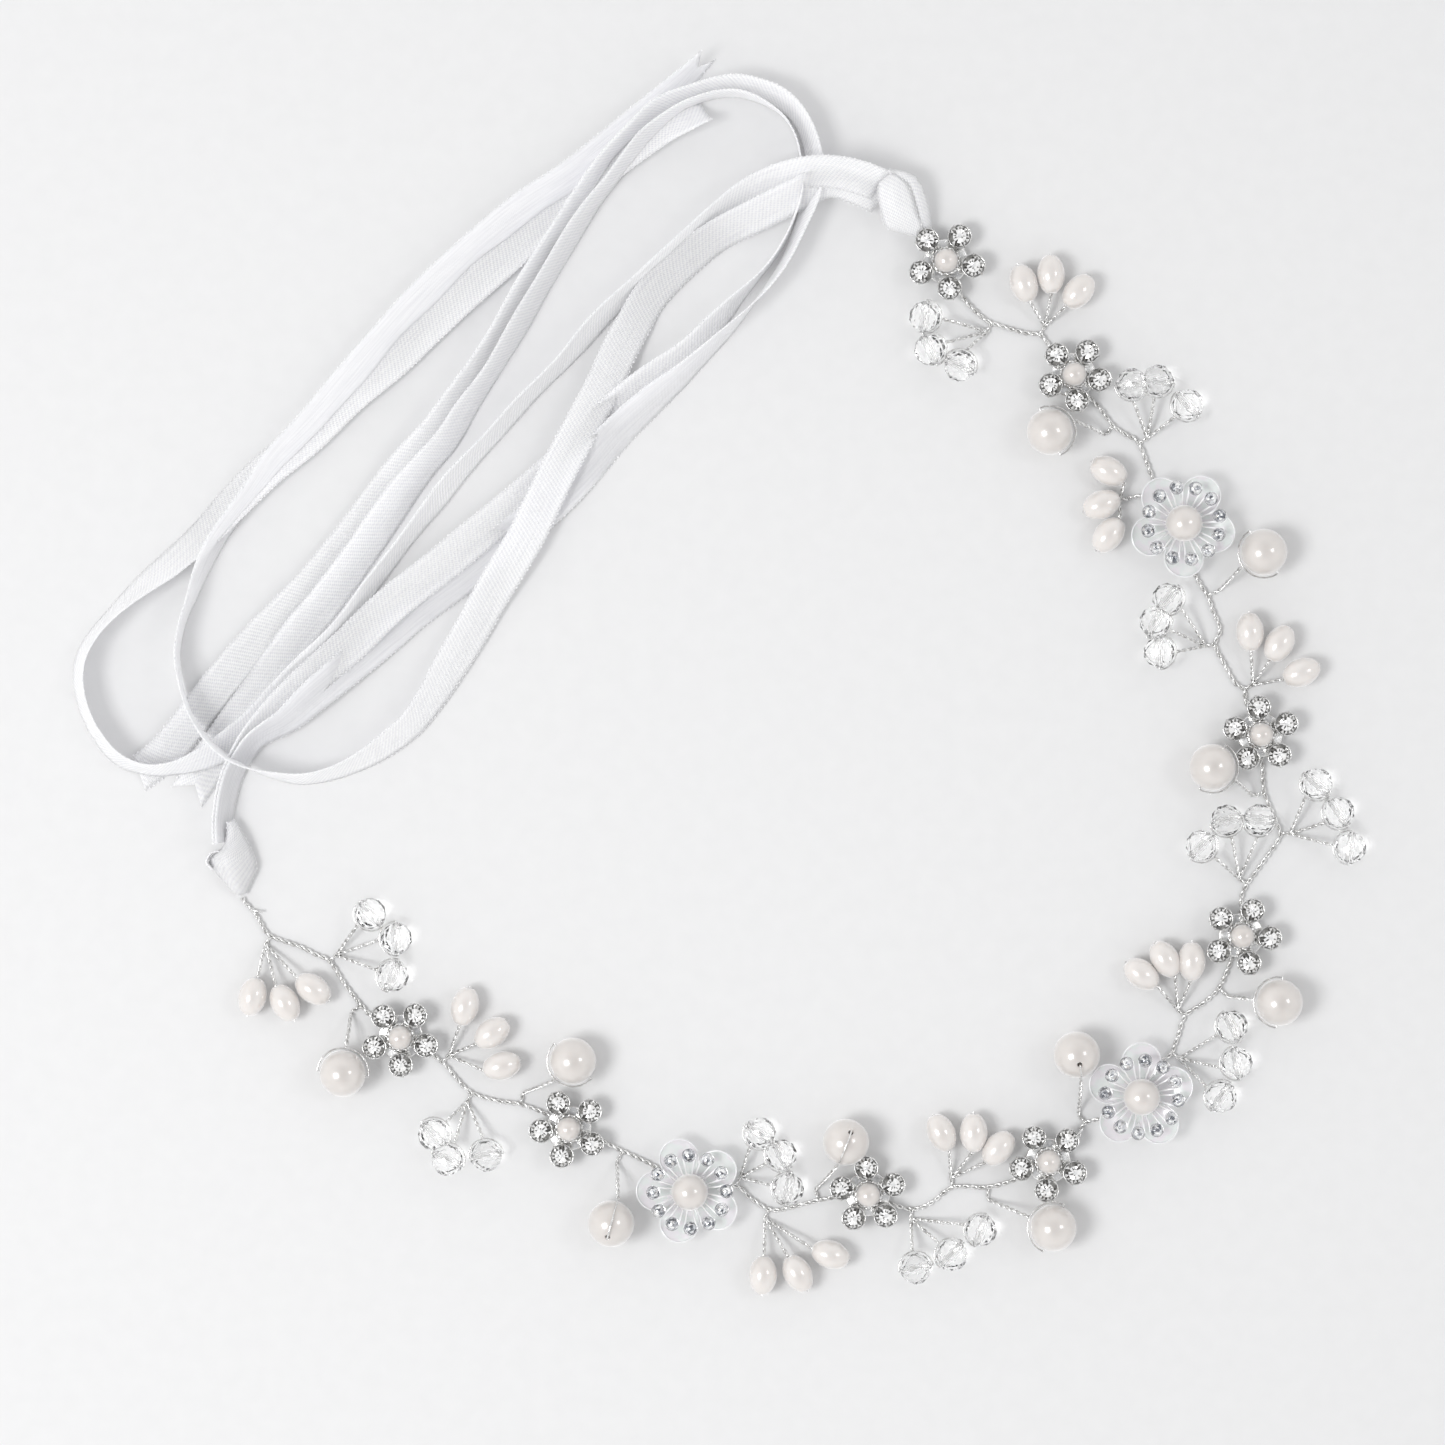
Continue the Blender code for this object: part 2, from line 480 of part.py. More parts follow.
def petal_reach(turn):
    """How far the petals reach at an angle from the middle of the nearest one."""
    across = LOBE_CENTRE * math.sin(turn)
    return LOBE_CENTRE * math.cos(turn) + math.sqrt(max(LOBE_RADIUS**2 - across**2, 0))


def make_petals(name, middle, turn):
    centre = place(middle, 0)
    steps = LOBES * LOBE_STEPS
    shares = (0.5, 1)
    corners = []
    for drop in (0, PETAL_THICKNESS):
        corners.append(centre + UP * (PETAL_BASE - drop))
        for share in shares:
            for i in range(steps):
                from_lobe = (i % LOBE_STEPS) * 360 / steps
                from_lobe = min(from_lobe, 360 / LOBES - from_lobe)
                reach = petal_reach(math.radians(from_lobe)) * share
                rise = PETAL_BASE + PETAL_RISE * reach**2 - drop
                corners.append(centre + heading(turn + i * 360 / steps) * reach + UP * rise)
    faces = []
    side = 1 + steps * len(shares)
    for base in (0, side):
        for i in range(steps):
            k = (i + 1) % steps
            faces.append((base, base + 1 + i, base + 1 + k))
            faces.append((base + 1 + i, base + 1 + steps + i, base + 1 + steps + k, base + 1 + k))
    rim = 1 + steps
    for i in range(steps):
        k = (i + 1) % steps
        faces.append((rim + i, side + rim + i, side + rim + k, rim + k))
    add_node(name, [(corners, faces)], "sequin")


def make_heart(name, middle, turn):
    centre = place(middle, 0)
    bodies = [lathe(HEART_PROFILE, HEART_SEGMENTS, frame_at(centre))]
    for i in range(STAMENS):
        out = heading(turn + i * 360 / STAMENS)
        points = [centre + out * reach + UP * height for reach, height, _ in STAMEN_ROUTE]
        bodies.append(tube(points, [radius for _, _, radius in STAMEN_ROUTE], STAMEN_SIDES))
    add_node(name, bodies, "stamen")


def make_sequin_flowers():
    for number, (middle, petal_turn, stamen_turn) in enumerate(SEQUIN_FLOWERS, 1):
        make_petals(f"sequin_petals_{number}", middle, petal_turn)
        make_heart(f"stamen_heart_{number}", middle, stamen_turn)


def smooth_route(points, steps):
    """Evenly spaced points on a smooth curve through the given ones."""
    dense = []
    padded = [points[0] * 2 - points[1]] + points + [points[-1] * 2 - points[-2]]
    parts = 8
    for a, b, c, d in zip(padded, padded[1:], padded[2:], padded[3:]):
        for i in range(parts):
            t = i / parts
            dense.append(
                0.5 * (2 * b + (c - a) * t + (2 * a - 5 * b + 4 * c - d) * t**2 + (3 * b - a - 3 * c + d) * t**3)
            )
    dense.append(points[-1])
    reached = [0.0]
    for a, b in zip(dense, dense[1:]):
        reached.append(reached[-1] + (b - a).length)
    even = []
    i = 0
    for step in range(steps):
        want = reached[-1] * step / (steps - 1)
        while i < len(dense) - 2 and reached[i + 1] < want:
            i += 1
        share = (want - reached[i]) / (reached[i + 1] - reached[i])
        even.append(dense[i].lerp(dense[i + 1], min(share, 1)))
    return even


def make_ribbon_tail(name, route):
    points = smooth_route([place(point, point[2]) for point in route], RIBBON_STEPS)
    curve = bpy.data.curves.new(name, "CURVE")
    curve.dimensions = "3D"
    curve.bevel_depth = RIBBON_TUBE_RADIUS * MM
    curve.bevel_resolution = 2
    curve.use_fill_caps = True
    spline = curve.splines.new("POLY")
    spline.points.add(len(points) - 1)
    for slot, point in zip(spline.points, points):
        slot.co = (*(point * MM), 1)
    tail = bpy.data.objects.new(name, curve)
    bpy.context.scene.collection.objects.link(tail)
    give_look(tail, "ribbon")


def make_knot(name, middle, halves, degrees):
    centre = place(middle, middle[2])
    turn = Matrix.Rotation(math.radians(degrees), 4, "Z")
    stretch = Matrix.Diagonal((*halves, 1))
    profile = []
    for i in range(KNOT_PROFILE_STEPS + 1):
        angle = math.pi * i / KNOT_PROFILE_STEPS
        radius = math.sin(angle) if 0 < i < KNOT_PROFILE_STEPS else 0
        profile.append((radius, -math.cos(angle)))
    frame = Matrix.Translation(centre) @ turn @ stretch
    add_node(name, [lathe(profile, KNOT_SEGMENTS, frame)], "ribbon")


clear_scene()
make_vine()
make_rice_sprays()
make_crystal_sprays()
make_pearls()
make_rhinestone_flowers()
make_sequin_flowers()
make_ribbon_tail("right_ribbon_tail_outer", RIGHT_TAIL_OUTER)
make_ribbon_tail("right_ribbon_tail_inner", RIGHT_TAIL_INNER)
make_ribbon_tail("left_ribbon_tail_inner", LEFT_TAIL_INNER)
make_ribbon_tail("left_ribbon_tail_outer", LEFT_TAIL_OUTER)
make_knot("right_ribbon_knot", *RIGHT_KNOT)
make_knot("left_ribbon_knot", *LEFT_KNOT)
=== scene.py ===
# %% [markdown]
# # A flower crown
# A bridal flower crown is a bendable vine of twisted silver wire. Sprays of beads, single pearls and small
# flowers branch off it, and a long satin ribbon is tied at each of its ends. This lesson dresses the plain
# solid model of one, piece by piece, and keeps every piece on the body that carries it.

# %% Load the solid model
import math
import random

import bmesh
import bpy
import numpy as np
from mathutils import Matrix, Vector


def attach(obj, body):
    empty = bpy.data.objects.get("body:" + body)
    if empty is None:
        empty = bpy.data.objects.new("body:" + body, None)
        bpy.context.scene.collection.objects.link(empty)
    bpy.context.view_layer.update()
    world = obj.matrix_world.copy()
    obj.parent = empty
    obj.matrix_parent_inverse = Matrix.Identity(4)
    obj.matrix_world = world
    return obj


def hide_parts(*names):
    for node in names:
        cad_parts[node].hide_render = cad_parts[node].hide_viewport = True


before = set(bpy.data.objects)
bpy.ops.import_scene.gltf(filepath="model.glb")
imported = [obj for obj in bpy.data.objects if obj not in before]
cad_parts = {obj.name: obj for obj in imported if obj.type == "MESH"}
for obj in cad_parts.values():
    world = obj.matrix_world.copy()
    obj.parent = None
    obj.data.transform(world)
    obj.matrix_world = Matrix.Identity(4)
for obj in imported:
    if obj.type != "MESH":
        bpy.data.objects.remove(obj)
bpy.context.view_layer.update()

# %% [markdown]
# ## Small tools
# Jewellery is measured in millimetres and Blender works in metres, so one factor turns one into the other.
# The solid model is centred on the wire part, so each place in a table is shifted by the same amount here.

# %% Millimetres and places
MM = 0.001
UP = Vector((0, 0, 1))
LAYOUT_MIDDLE = Vector((0.17, 0.01, 0))
FRAME_BODY = "wire_frame"
chance = random.Random(11)


def place(point, height):
    """A place from a table, in metres."""
    return (Vector((point[0], point[1], height)) - LAYOUT_MIDDLE) * MM


def heading(degrees):
    angle = math.radians(degrees)
    return Vector((math.cos(angle), math.sin(angle), 0))


# %% [markdown]
# Every piece ends as a plain mesh that sits at the origin, because the solid model does too. Points and faces
# are enough to make one, and recalculating the normals at the end keeps every face pointing outwards.

# %% Meshes from points and faces
def mesh_object(name, points, faces, material=None, smooth=True, edges=()):
    mesh = bpy.data.meshes.new(name)
    mesh.from_pydata([tuple(p) for p in points], list(edges), faces)
    if faces:
        work = bmesh.new()
        work.from_mesh(mesh)
        bmesh.ops.recalc_face_normals(work, faces=work.faces)
        work.to_mesh(mesh)
        work.free()
    obj = bpy.data.objects.new(name, mesh)
    bpy.context.scene.collection.objects.link(obj)
    if material:
        mesh.materials.append(material)
    if smooth:
        mesh.shade_smooth()
    return obj


def joined(name, pieces):
    """Several objects as one, which keeps their materials."""
    bpy.ops.object.select_all(action="DESELECT")
    for piece in pieces:
        piece.select_set(True)
    bpy.context.view_layer.objects.active = pieces[0]
    bpy.ops.object.join()
    pieces[0].name = name
    pieces[0].data.name = name
    return pieces[0]


def dress(piece, node, body):
    """A finished piece rides its body and takes the place of its solid."""
    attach(piece, body)
    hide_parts(node)
    return piece


# %% [markdown]
# A bead, a cup or a pearl is a turned shape: one outline spun round an axis. Blender has a Screw modifier for
# this. Points given one by one are as short, and they let the axis lie in any direction.

# %% Turned shapes
def ball(width, height, steps):
    """The outline of a ball, from its lowest point to its highest."""
    return [(width * math.sin(a), -height * math.cos(a)) for a in np.linspace(0, math.pi, steps)]


def frame_at(origin, axis=UP):
    return Matrix.Translation(origin) @ UP.rotation_difference(axis).to_matrix().to_4x4()


def lathe(profile, segments, closed=False):
    """Points and faces of (radius, height) pairs turned about Z."""
    points, faces, rings = [], [], []
    for radius, height in profile:
        turns = segments if radius > 1e-9 else 1
        rings.append(range(len(points), len(points) + turns))
        for j in range(turns):
            angle = 2 * math.pi * j / segments
            points.append(Vector((radius * math.cos(angle), radius * math.sin(angle), height)))
    for i in range(len(rings) if closed else len(rings) - 1):
        low, high = rings[i], rings[(i + 1) % len(rings)]
        for j in range(segments):
            k = (j + 1) % segments
            if len(low) == 1:
                faces.append((low[0], high[j], high[k]))
            elif len(high) == 1:
                faces.append((low[j], low[k], high[0]))
            else:
                faces.append((low[j], low[k], high[k], high[j]))
    return points, faces


def turned(name, profile, segments, where, material, smooth=True, closed=False):
    """A turned piece, in millimetres about its own axis, set down at a frame."""
    points, faces = lathe(profile, segments, closed)
    return mesh_object(name, [where @ (p * MM) for p in points], faces, material, smooth)


# %% [markdown]
# A node tree, for a material or for geometry, is a list of nodes and links. One small function adds a node
# together with its settings, its plain values and the sockets that feed it.

# %% Nodes and colours
def set_values(node, values):
    for socket, value in values.items():
        node.inputs[socket].default_value = value


def add(tree, kind, values=None, links=None, **settings):
    node = tree.nodes.new(kind)
    for name, value in settings.items():
        setattr(node, name, value)
    set_values(node, values or {})
    for socket, source in (links or {}).items():
        tree.links.new(source, node.inputs[socket])
    return node


def maths(tree, operation, *sides):
    """One step of arithmetic on numbers and on what other nodes give."""
    node = add(tree, "ShaderNodeMath", operation=operation)
    for socket, side in enumerate(sides):
        if isinstance(side, bpy.types.NodeSocket):
            tree.links.new(side, node.inputs[socket])
        else:
            node.inputs[socket].default_value = side
    return node.outputs[0]


def colour(code):
    """An sRGB hex colour as the linear colour that a shader works in."""
    parts = [int(code[i : i + 2], 16) / 255 for i in (1, 3, 5)]
    return tuple(c / 12.92 if c <= 0.04045 else ((c + 0.055) / 1.055) ** 2.4 for c in parts) + (1,)


def new_material(name):
    material = bpy.data.materials.new(name)
    material.use_nodes = True
    tree = material.node_tree
    return material, tree, tree.nodes["Principled BSDF"]


def ramp(tree, source, stops):
    """Colours along a 0 to 1 value."""
    node = add(tree, "ShaderNodeValToRGB", links={"Fac": source})
    while len(node.color_ramp.elements) < len(stops):
        node.color_ramp.elements.new(0.5)
    for element, (position, code) in zip(node.color_ramp.elements, stops):
        element.position = position
        element.color = colour(code)
    return node.outputs["Color"]


def tint(tree, shader, source, stops):
    """The shader's colour, read from a ramp."""
    tree.links.new(ramp(tree, source, stops), shader.inputs["Base Color"])


def noise(tree, values):
    """Soft noise that stays with the object, from 0 to 1."""
    where = add(tree, "ShaderNodeTexCoord").outputs["Object"]
    return add(tree, "ShaderNodeTexNoise", values, {"Vector": where}).outputs["Fac"]


def between(tree, source, low, high):
    """A 0 to 1 value stretched to run from low to high."""
    values = {"To Min": low, "To Max": high}
    return add(tree, "ShaderNodeMapRange", values, {"Value": source}).outputs["Result"]


def raise_surface(tree, shader, height, strength, distance):
    values = {"Strength": strength, "Distance": distance}
    bump = add(tree, "ShaderNodeBump", values, {"Height": height})
    tree.links.new(bump.outputs["Normal"], shader.inputs["Normal"])


# %% [markdown]
# ## Camera, floor and light
# The crown is seen from straight above. A long lens from 75 cm away keeps the view nearly flat, as a product
# picture needs. The floor is plain and pale. A soft key light on the left gives each pearl its highlight and
# lets the shadows fall to the right, and a weaker one on the right adds the second highlight. The room is
# white at the sides and greyer overhead, which is what draws dark and bright wedges in silver and glass.

# %% Camera
VIEW_MIDDLE = Vector((-13.9, 6.5, 0)) * MM
VIEW_WIDTH = 0.2514
CAMERA_HEIGHT = 0.75
SENSOR_MM = 36.0


def aim_at(obj, target):
    obj.rotation_euler = (target - obj.location).to_track_quat("-Z", "Y").to_euler()


lens = bpy.data.cameras.new("overhead_lens")
lens.sensor_width = SENSOR_MM
lens.lens = SENSOR_MM * CAMERA_HEIGHT / VIEW_WIDTH
lens.clip_start = 0.01
overhead = bpy.data.objects.new("overhead_camera", lens)
overhead.location = VIEW_MIDDLE + UP * CAMERA_HEIGHT
bpy.context.scene.collection.objects.link(overhead)
bpy.context.scene.camera = overhead
bpy.context.scene.view_settings.view_transform = "Standard"
print("lens", round(lens.lens, 1), "mm")

# %% Floor
floor_material, floor_tree, floor_shader = new_material("pale_matt_paper")
tint(floor_tree, floor_shader, noise(floor_tree, {"Scale": 300.0}), ((0.3, "#DEDEDE"), (0.7, "#E0E0E0")))
set_values(floor_shader, {"Roughness": 0.9})
FLOOR_HALF = 1.5
CORNERS = ((-1, -1), (1, -1), (1, 1), (-1, 1))
floor_points = [(x * FLOOR_HALF, y * FLOOR_HALF, 0) for x, y in CORNERS]
floor = mesh_object("pale_floor", floor_points, [(0, 1, 2, 3)], floor_material, smooth=False)
print("floor", 2 * FLOOR_HALF, "m wide")


# %% Lights
def soft_light(name, spot, size, power):
    data = bpy.data.lights.new(name, "AREA")
    data.shape = "SQUARE"
    data.size = size
    data.energy = power
    light = bpy.data.objects.new(name, data)
    light.location = spot
    aim_at(light, Vector((0, 0, 0)))
    bpy.context.scene.collection.objects.link(light)


soft_light("key_from_the_left", Vector((-0.55, -0.16, 0.9)), 0.36, 5.2)
soft_light("fill_from_the_right", Vector((0.75, 0.15, 0.95)), 0.3, 1.0)
surround = bpy.data.worlds.new("pale_room")
surround.use_nodes = True
direction = add(surround.node_tree, "ShaderNodeTexCoord").outputs["Generated"]
height = add(surround.node_tree, "ShaderNodeSeparateXYZ", links={"Vector": direction}).outputs["Z"]
WALL_TO_CEILING = ((0.0, "#FFFFFF"), (0.55, "#FAFAFA"), (0.8, "#D8D8DA"), (1.0, "#9FA0A3"))
walls = ramp(surround.node_tree, height, WALL_TO_CEILING)
surround.node_tree.links.new(walls, surround.node_tree.nodes["Background"].inputs["Color"])
surround.node_tree.nodes["Background"].inputs["Strength"].default_value = 1.0
bpy.context.scene.world = surround
print("two soft lights and a pale room")

# %% [markdown]
# ## Geometry trees
# Four things repeat all over the crown: two wires twisted together, one plain bent wire, stitches along an
# edge, and rings of equal parts round a middle. Each is a Geometry Nodes tree with named sizes, so one rule
# makes every copy. The result is turned into a plain mesh, because that is what a finished piece is.

# %% Making a tree and growing a mesh with it
def geometry_tree(name, sizes):
    tree = bpy.data.node_groups.new(name, "GeometryNodeTree")
    tree.interface.new_socket("Geometry", in_out="OUTPUT", socket_type="NodeSocketGeometry")
    tree.interface.new_socket("Geometry", in_out="INPUT", socket_type="NodeSocketGeometry")
    for label, kind in sizes:
        tree.interface.new_socket(label, in_out="INPUT", socket_type="NodeSocket" + kind)
    return tree, add(tree, "NodeGroupInput").outputs


def finish_tree(tree, geometry, links):
    """Every tree ends by making its copies real and giving them their finish."""
    real = add(tree, "GeometryNodeRealizeInstances", links={"Geometry": geometry})
    painted = add(tree, "GeometryNodeSetMaterial", links={"Geometry": real.outputs[0], **links})
    add(tree, "NodeGroupOutput", links={0: painted.outputs[0]})


def grow(name, tree, base, sizes):
    """Runs a tree on an object made of points and lines, and keeps the result as a plain mesh."""
    grower = base.modifiers.new("grow", "NODES")
    grower.node_group = tree
    for item in tree.interface.items_tree:
        if item.in_out == "INPUT" and item.name in sizes:
            grower[item.identifier] = sizes[item.name]
    graph = bpy.context.evaluated_depsgraph_get()
    mesh = bpy.data.meshes.new_from_object(base.evaluated_get(graph))
    base.modifiers.clear()
    base.data = mesh
    base.name = name
    mesh.name = name
    return base


def lines(name, routes, closed=False):
    """Points joined in lines, one line for each route."""
    points, edges = [], []
    for route in routes:
        first = len(points)
        points += [tuple(p) for p in route]
        edges += [(first + i, first + i + 1) for i in range(len(route) - 1)]
        if closed:
            edges.append((len(points) - 1, first))
    return mesh_object(name, points, [], edges=edges, smooth=False)


# %% [markdown]
# **Twisted wires.** Two strands wind round one line. At each point the strand is set off to one side, and the
# direction turns once in every pitch, with the second strand half a turn behind the first.

# %% Twisted wire tree
WIRE_SIDES = 7
STRANDS = (0.0, 0.5)


def resampled(tree, given):
    """The lines of the base mesh, as curves with even steps."""
    line = add(tree, "GeometryNodeMeshToCurve", links={"Mesh": given["Geometry"]})
    links = {"Curve": line.outputs[0], "Length": given["Step"]}
    return add(tree, "GeometryNodeResampleCurve", links=links, mode="LENGTH").outputs[0]


def swept(tree, curve, given):
    """A round wire with closed ends along a curve."""
    links = {"Radius": given["Strand"]}
    section = add(tree, "GeometryNodeCurvePrimitiveCircle", {"Resolution": WIRE_SIDES}, links, mode="RADIUS")
    links = {"Curve": curve, "Profile Curve": section.outputs[0]}
    return add(tree, "GeometryNodeCurveToMesh", {"Fill Caps": True}, links).outputs[0]


def vector_maths(tree, operation, links):
    return add(tree, "ShaderNodeVectorMath", {}, links, operation=operation).outputs[0]


def twisted_wire_tree():
    lengths = [(label, "Float") for label in ("Strand", "Offset", "Pitch", "Step")]
    tree, given = geometry_tree("twisted_wires", (*lengths, ("Finish", "Material")))
    fine = resampled(tree, given)
    reached = add(tree, "GeometryNodeSplineParameter").outputs["Length"]
    turns = maths(tree, "DIVIDE", reached, given["Pitch"])
    normal = add(tree, "GeometryNodeInputNormal").outputs[0]
    tangent = add(tree, "GeometryNodeInputTangent").outputs[0]
    third = vector_maths(tree, "CROSS_PRODUCT", {0: tangent, 1: normal})
    strands = []
    for start in STRANDS:
        angle = maths(tree, "MULTIPLY", maths(tree, "ADD", turns, start), 2 * math.pi)
        arms = [
            vector_maths(tree, "SCALE", {0: direction, "Scale": maths(tree, wave, angle)})
            for direction, wave in ((normal, "COSINE"), (third, "SINE"))
        ]
        both = vector_maths(tree, "ADD", {0: arms[0], 1: arms[1]})
        arm = vector_maths(tree, "SCALE", {0: both, "Scale": given["Offset"]})
        moved = add(tree, "GeometryNodeSetPosition", links={"Geometry": fine, "Offset": arm})
        strands.append(swept(tree, moved.outputs[0], given))
    pair = add(tree, "GeometryNodeJoinGeometry")
    for strand in strands:
        tree.links.new(strand, pair.inputs[0])
    smooth = add(tree, "GeometryNodeSetShadeSmooth", links={"Geometry": pair.outputs[0]})
    finish_tree(tree, smooth.outputs[0], {"Material": given["Finish"]})
    return tree


twisted_wires = twisted_wire_tree()
print("tree", twisted_wires.name, "has", len(twisted_wires.nodes), "nodes")

# %% [markdown]
# **A plain wire, stitches, and rings.** The plain wire sweeps a small circle along a line. The stitches drop
# one bead of yarn at each step of an edge, with a seeded change of size. The ring puts one part at each
# corner of a regular polygon round every middle, turned to face outwards.

# %% Plain wire tree
def plain_wire_tree():
    sizes = (("Strand", "Float"), ("Step", "Float"), ("Finish", "Material"))
    tree, given = geometry_tree("plain_wire", sizes)
    wire = swept(tree, resampled(tree, given), given)
    smooth = add(tree, "GeometryNodeSetShadeSmooth", links={"Geometry": wire})
    finish_tree(tree, smooth.outputs[0], {"Material": given["Finish"]})
    return tree


# %% Stitch tree
STITCH_SIZES = {2: 0.8, 3: 1.15}


def stitch_tree():
    sizes = (("Size", "Float"), ("Pitch", "Float"), ("Finish", "Material"))
    tree, given = geometry_tree("edge_stitches", sizes)
    line = add(tree, "GeometryNodeMeshToCurve", links={"Mesh": given["Geometry"]})
    links = {"Curve": line.outputs[0], "Length": given["Pitch"]}
    spots = add(tree, "GeometryNodeCurveToPoints", links=links, mode="LENGTH")
    bead = add(tree, "GeometryNodeMeshIcoSphere", {"Subdivisions": 1}, {"Radius": given["Size"]})
    size = add(tree, "FunctionNodeRandomValue", {"Seed": 7}, data_type="FLOAT")
    set_values(size, STITCH_SIZES)
    links = {"Points": spots.outputs[0], "Instance": bead.outputs[0], "Scale": size.outputs[1]}
    copies = add(tree, "GeometryNodeInstanceOnPoints", links=links)
    finish_tree(tree, copies.outputs[0], {"Material": given["Finish"]})
    return tree


# %% Ring tree
def stored(tree, name):
    return add(tree, "GeometryNodeInputNamedAttribute", {"Name": name}, data_type="FLOAT").outputs[0]


def about_z(tree, turn):
    return add(tree, "ShaderNodeCombineXYZ", links={"Z": turn}).outputs[0]


def ring_tree():
    sizes = (("Part", "Object"), ("Count", "Int"), ("Repaint", "Bool"), ("Finish", "Material"))
    tree, given = geometry_tree("ring_of_parts", sizes)
    turn = stored(tree, "turn")
    radius = stored(tree, "ring")
    polygon = add(tree, "GeometryNodeMeshCircle", {"Radius": 1.0}, {"Vertices": given["Count"]})
    number = add(tree, "GeometryNodeInputIndex").outputs[0]
    facing = maths(tree, "MULTIPLY", maths(tree, "DIVIDE", number, given["Count"]), 2 * math.pi)
    marked = add(
        tree,
        "GeometryNodeStoreNamedAttribute",
        {"Name": "facing"},
        {"Geometry": polygon.outputs[0], "Value": facing},
        data_type="FLOAT",
        domain="POINT",
    )
    links = {
        "Points": given["Geometry"],
        "Instance": marked.outputs[0],
        "Rotation": about_z(tree, turn),
        "Scale": add(tree, "ShaderNodeCombineXYZ", {"Z": 1.0}, {"X": radius, "Y": radius}).outputs[0],
    }
    rings = add(tree, "GeometryNodeInstanceOnPoints", links=links)
    corners = add(tree, "GeometryNodeRealizeInstances", links={"Geometry": rings.outputs[0]})
    part = add(tree, "GeometryNodeObjectInfo", {"As Instance": True}, {"Object": given["Part"]})
    links = {
        "Points": corners.outputs[0],
        "Instance": part.outputs["Geometry"],
        "Rotation": about_z(tree, maths(tree, "ADD", stored(tree, "facing"), turn)),
    }
    copies = add(tree, "GeometryNodeInstanceOnPoints", links=links)
    finish_tree(tree, copies.outputs[0], {"Material": given["Finish"], "Selection": given["Repaint"]})
    return tree


plain_wire = plain_wire_tree()
edge_stitches = stitch_tree()
ring_of_parts = ring_tree()
print("trees:", ", ".join(group.name for group in bpy.data.node_groups))

# %% [markdown]
# ## The ribbons
# ** Satin ribbon.** Polyester satin is woven from shiny yarns. On its front a fine cross weave shows as rows
# of tiny dots: the weave raises them, and their bright tops are painted into the colour as painted glints.
# Its back is long smooth floats, shinier, and its colour is set a little greyer. The strip carries its own UV
# map in millimetres, so the weave has its real pitch and follows each fold, and the back's V starts at a far
# higher number, which tells the two faces apart. The rows are drawn a little coarser than life, so that they
# show.
# Satin this thin lets about half of a lamp's light through, so its shadows are pale.

# %% Woven satin
WEAVE_ROW = 0.72
WEAVE_END = 0.6
BACK_FACE_V = 100.0
SATIN_LETS_THROUGH = 0.5
GLASS_LETS_THROUGH = 0.85
FILM_LETS_THROUGH = 0.5


def let_lamps_through(tree, shader, share):
    """Thin cloth and clear pieces cast pale shadows, because part of the light goes on through them."""
    shadow = add(tree, "ShaderNodeLightPath").outputs["Is Shadow Ray"]
    clear = add(tree, "ShaderNodeBsdfTransparent").outputs[0]
    links = {0: maths(tree, "MULTIPLY", shadow, share), 1: shader.outputs[0], 2: clear}
    both = add(tree, "ShaderNodeMixShader", links=links)
    tree.links.new(both.outputs[0], tree.nodes["Material Output"].inputs["Surface"])


def woven_satin():
    material, tree, shader = new_material("woven_polyester_satin")
    flat = add(tree, "ShaderNodeUVMap", uv_map="ribbon").outputs["UV"]
    rows = add(tree, "ShaderNodeMapping", {"Scale": (1 / WEAVE_ROW, 1 / WEAVE_END, 1)}, {"Vector": flat})
    parts = add(tree, "ShaderNodeSeparateXYZ", links={"Vector": rows.outputs["Vector"]})
    shifted = maths(tree, "ADD", parts.outputs["X"], maths(tree, "MULTIPLY", parts.outputs["Y"], 0.5))
    sources = (shifted, parts.outputs["Y"])
    waves = [maths(tree, "SINE", maths(tree, "MULTIPLY", source, 2 * math.pi)) for source in sources]
    weave = maths(tree, "MULTIPLY", *waves)
    streaks = add(tree, "ShaderNodeMapping", {"Scale": (0.12, 3.0, 1)}, {"Vector": flat})
    slub = add(tree, "ShaderNodeTexNoise", {"Scale": 1.0, "Detail": 3.0}, {"Vector": streaks.outputs[0]})
    # The front's colour rises to white on the weave's dots, which are painted glints, over the slub's streaks
    # of tone.
    level = maths(tree, "ADD", maths(tree, "MULTIPLY", weave, 0.38), slub.outputs["Fac"])
    front = ramp(tree, level, ((0.2, "#E6E6EA"), (0.5, "#F6F6F8"), (0.72, "#FFFFFF")))
    back = ramp(tree, slub.outputs["Fac"], ((0.35, "#ECECF0"), (0.65, "#F7F7FA")))
    height = add(tree, "ShaderNodeSeparateXYZ", links={"Vector": flat}).outputs["Y"]
    is_back = maths(tree, "GREATER_THAN", height, BACK_FACE_V / 2)
    faces = add(tree, "ShaderNodeMix", {}, {"Factor": is_back}, data_type="RGBA")
    tree.links.new(front, faces.inputs[6])
    tree.links.new(back, faces.inputs[7])
    tree.links.new(faces.outputs[2], shader.inputs["Base Color"])
    tree.links.new(between(tree, is_back, 0.46, 0.3), shader.inputs["Roughness"])
    relief = maths(tree, "MULTIPLY", weave, between(tree, is_back, 1.0, 0.25))
    raise_surface(tree, shader, relief, 0.35, 0.0001)
    values = {
        "Subsurface Weight": 0.7,
        "Subsurface Radius": (1.0, 1.0, 1.0),
        "Subsurface Scale": 0.0015,
        "Specular IOR Level": 0.6,
        "Anisotropic": 0.45,
        "Sheen Weight": 0.3,
        "Sheen Roughness": 0.35,
    }
    set_values(shader, values)
    let_lamps_through(tree, shader, SATIN_LETS_THROUGH)
    return material


def selvedge_yarn():
    """The thicker yarn that loops round each edge of a woven ribbon: white, with a soft lustre."""
    material, tree, shader = new_material("selvedge_yarn")
    tint(tree, shader, noise(tree, {"Scale": 1800.0, "Detail": 3.0}), ((0.3, "#E2E3E6"), (0.7, "#FDFDFD")))
    set_values(shader, {"Roughness": 0.42, "Sheen Weight": 0.25})
    return material


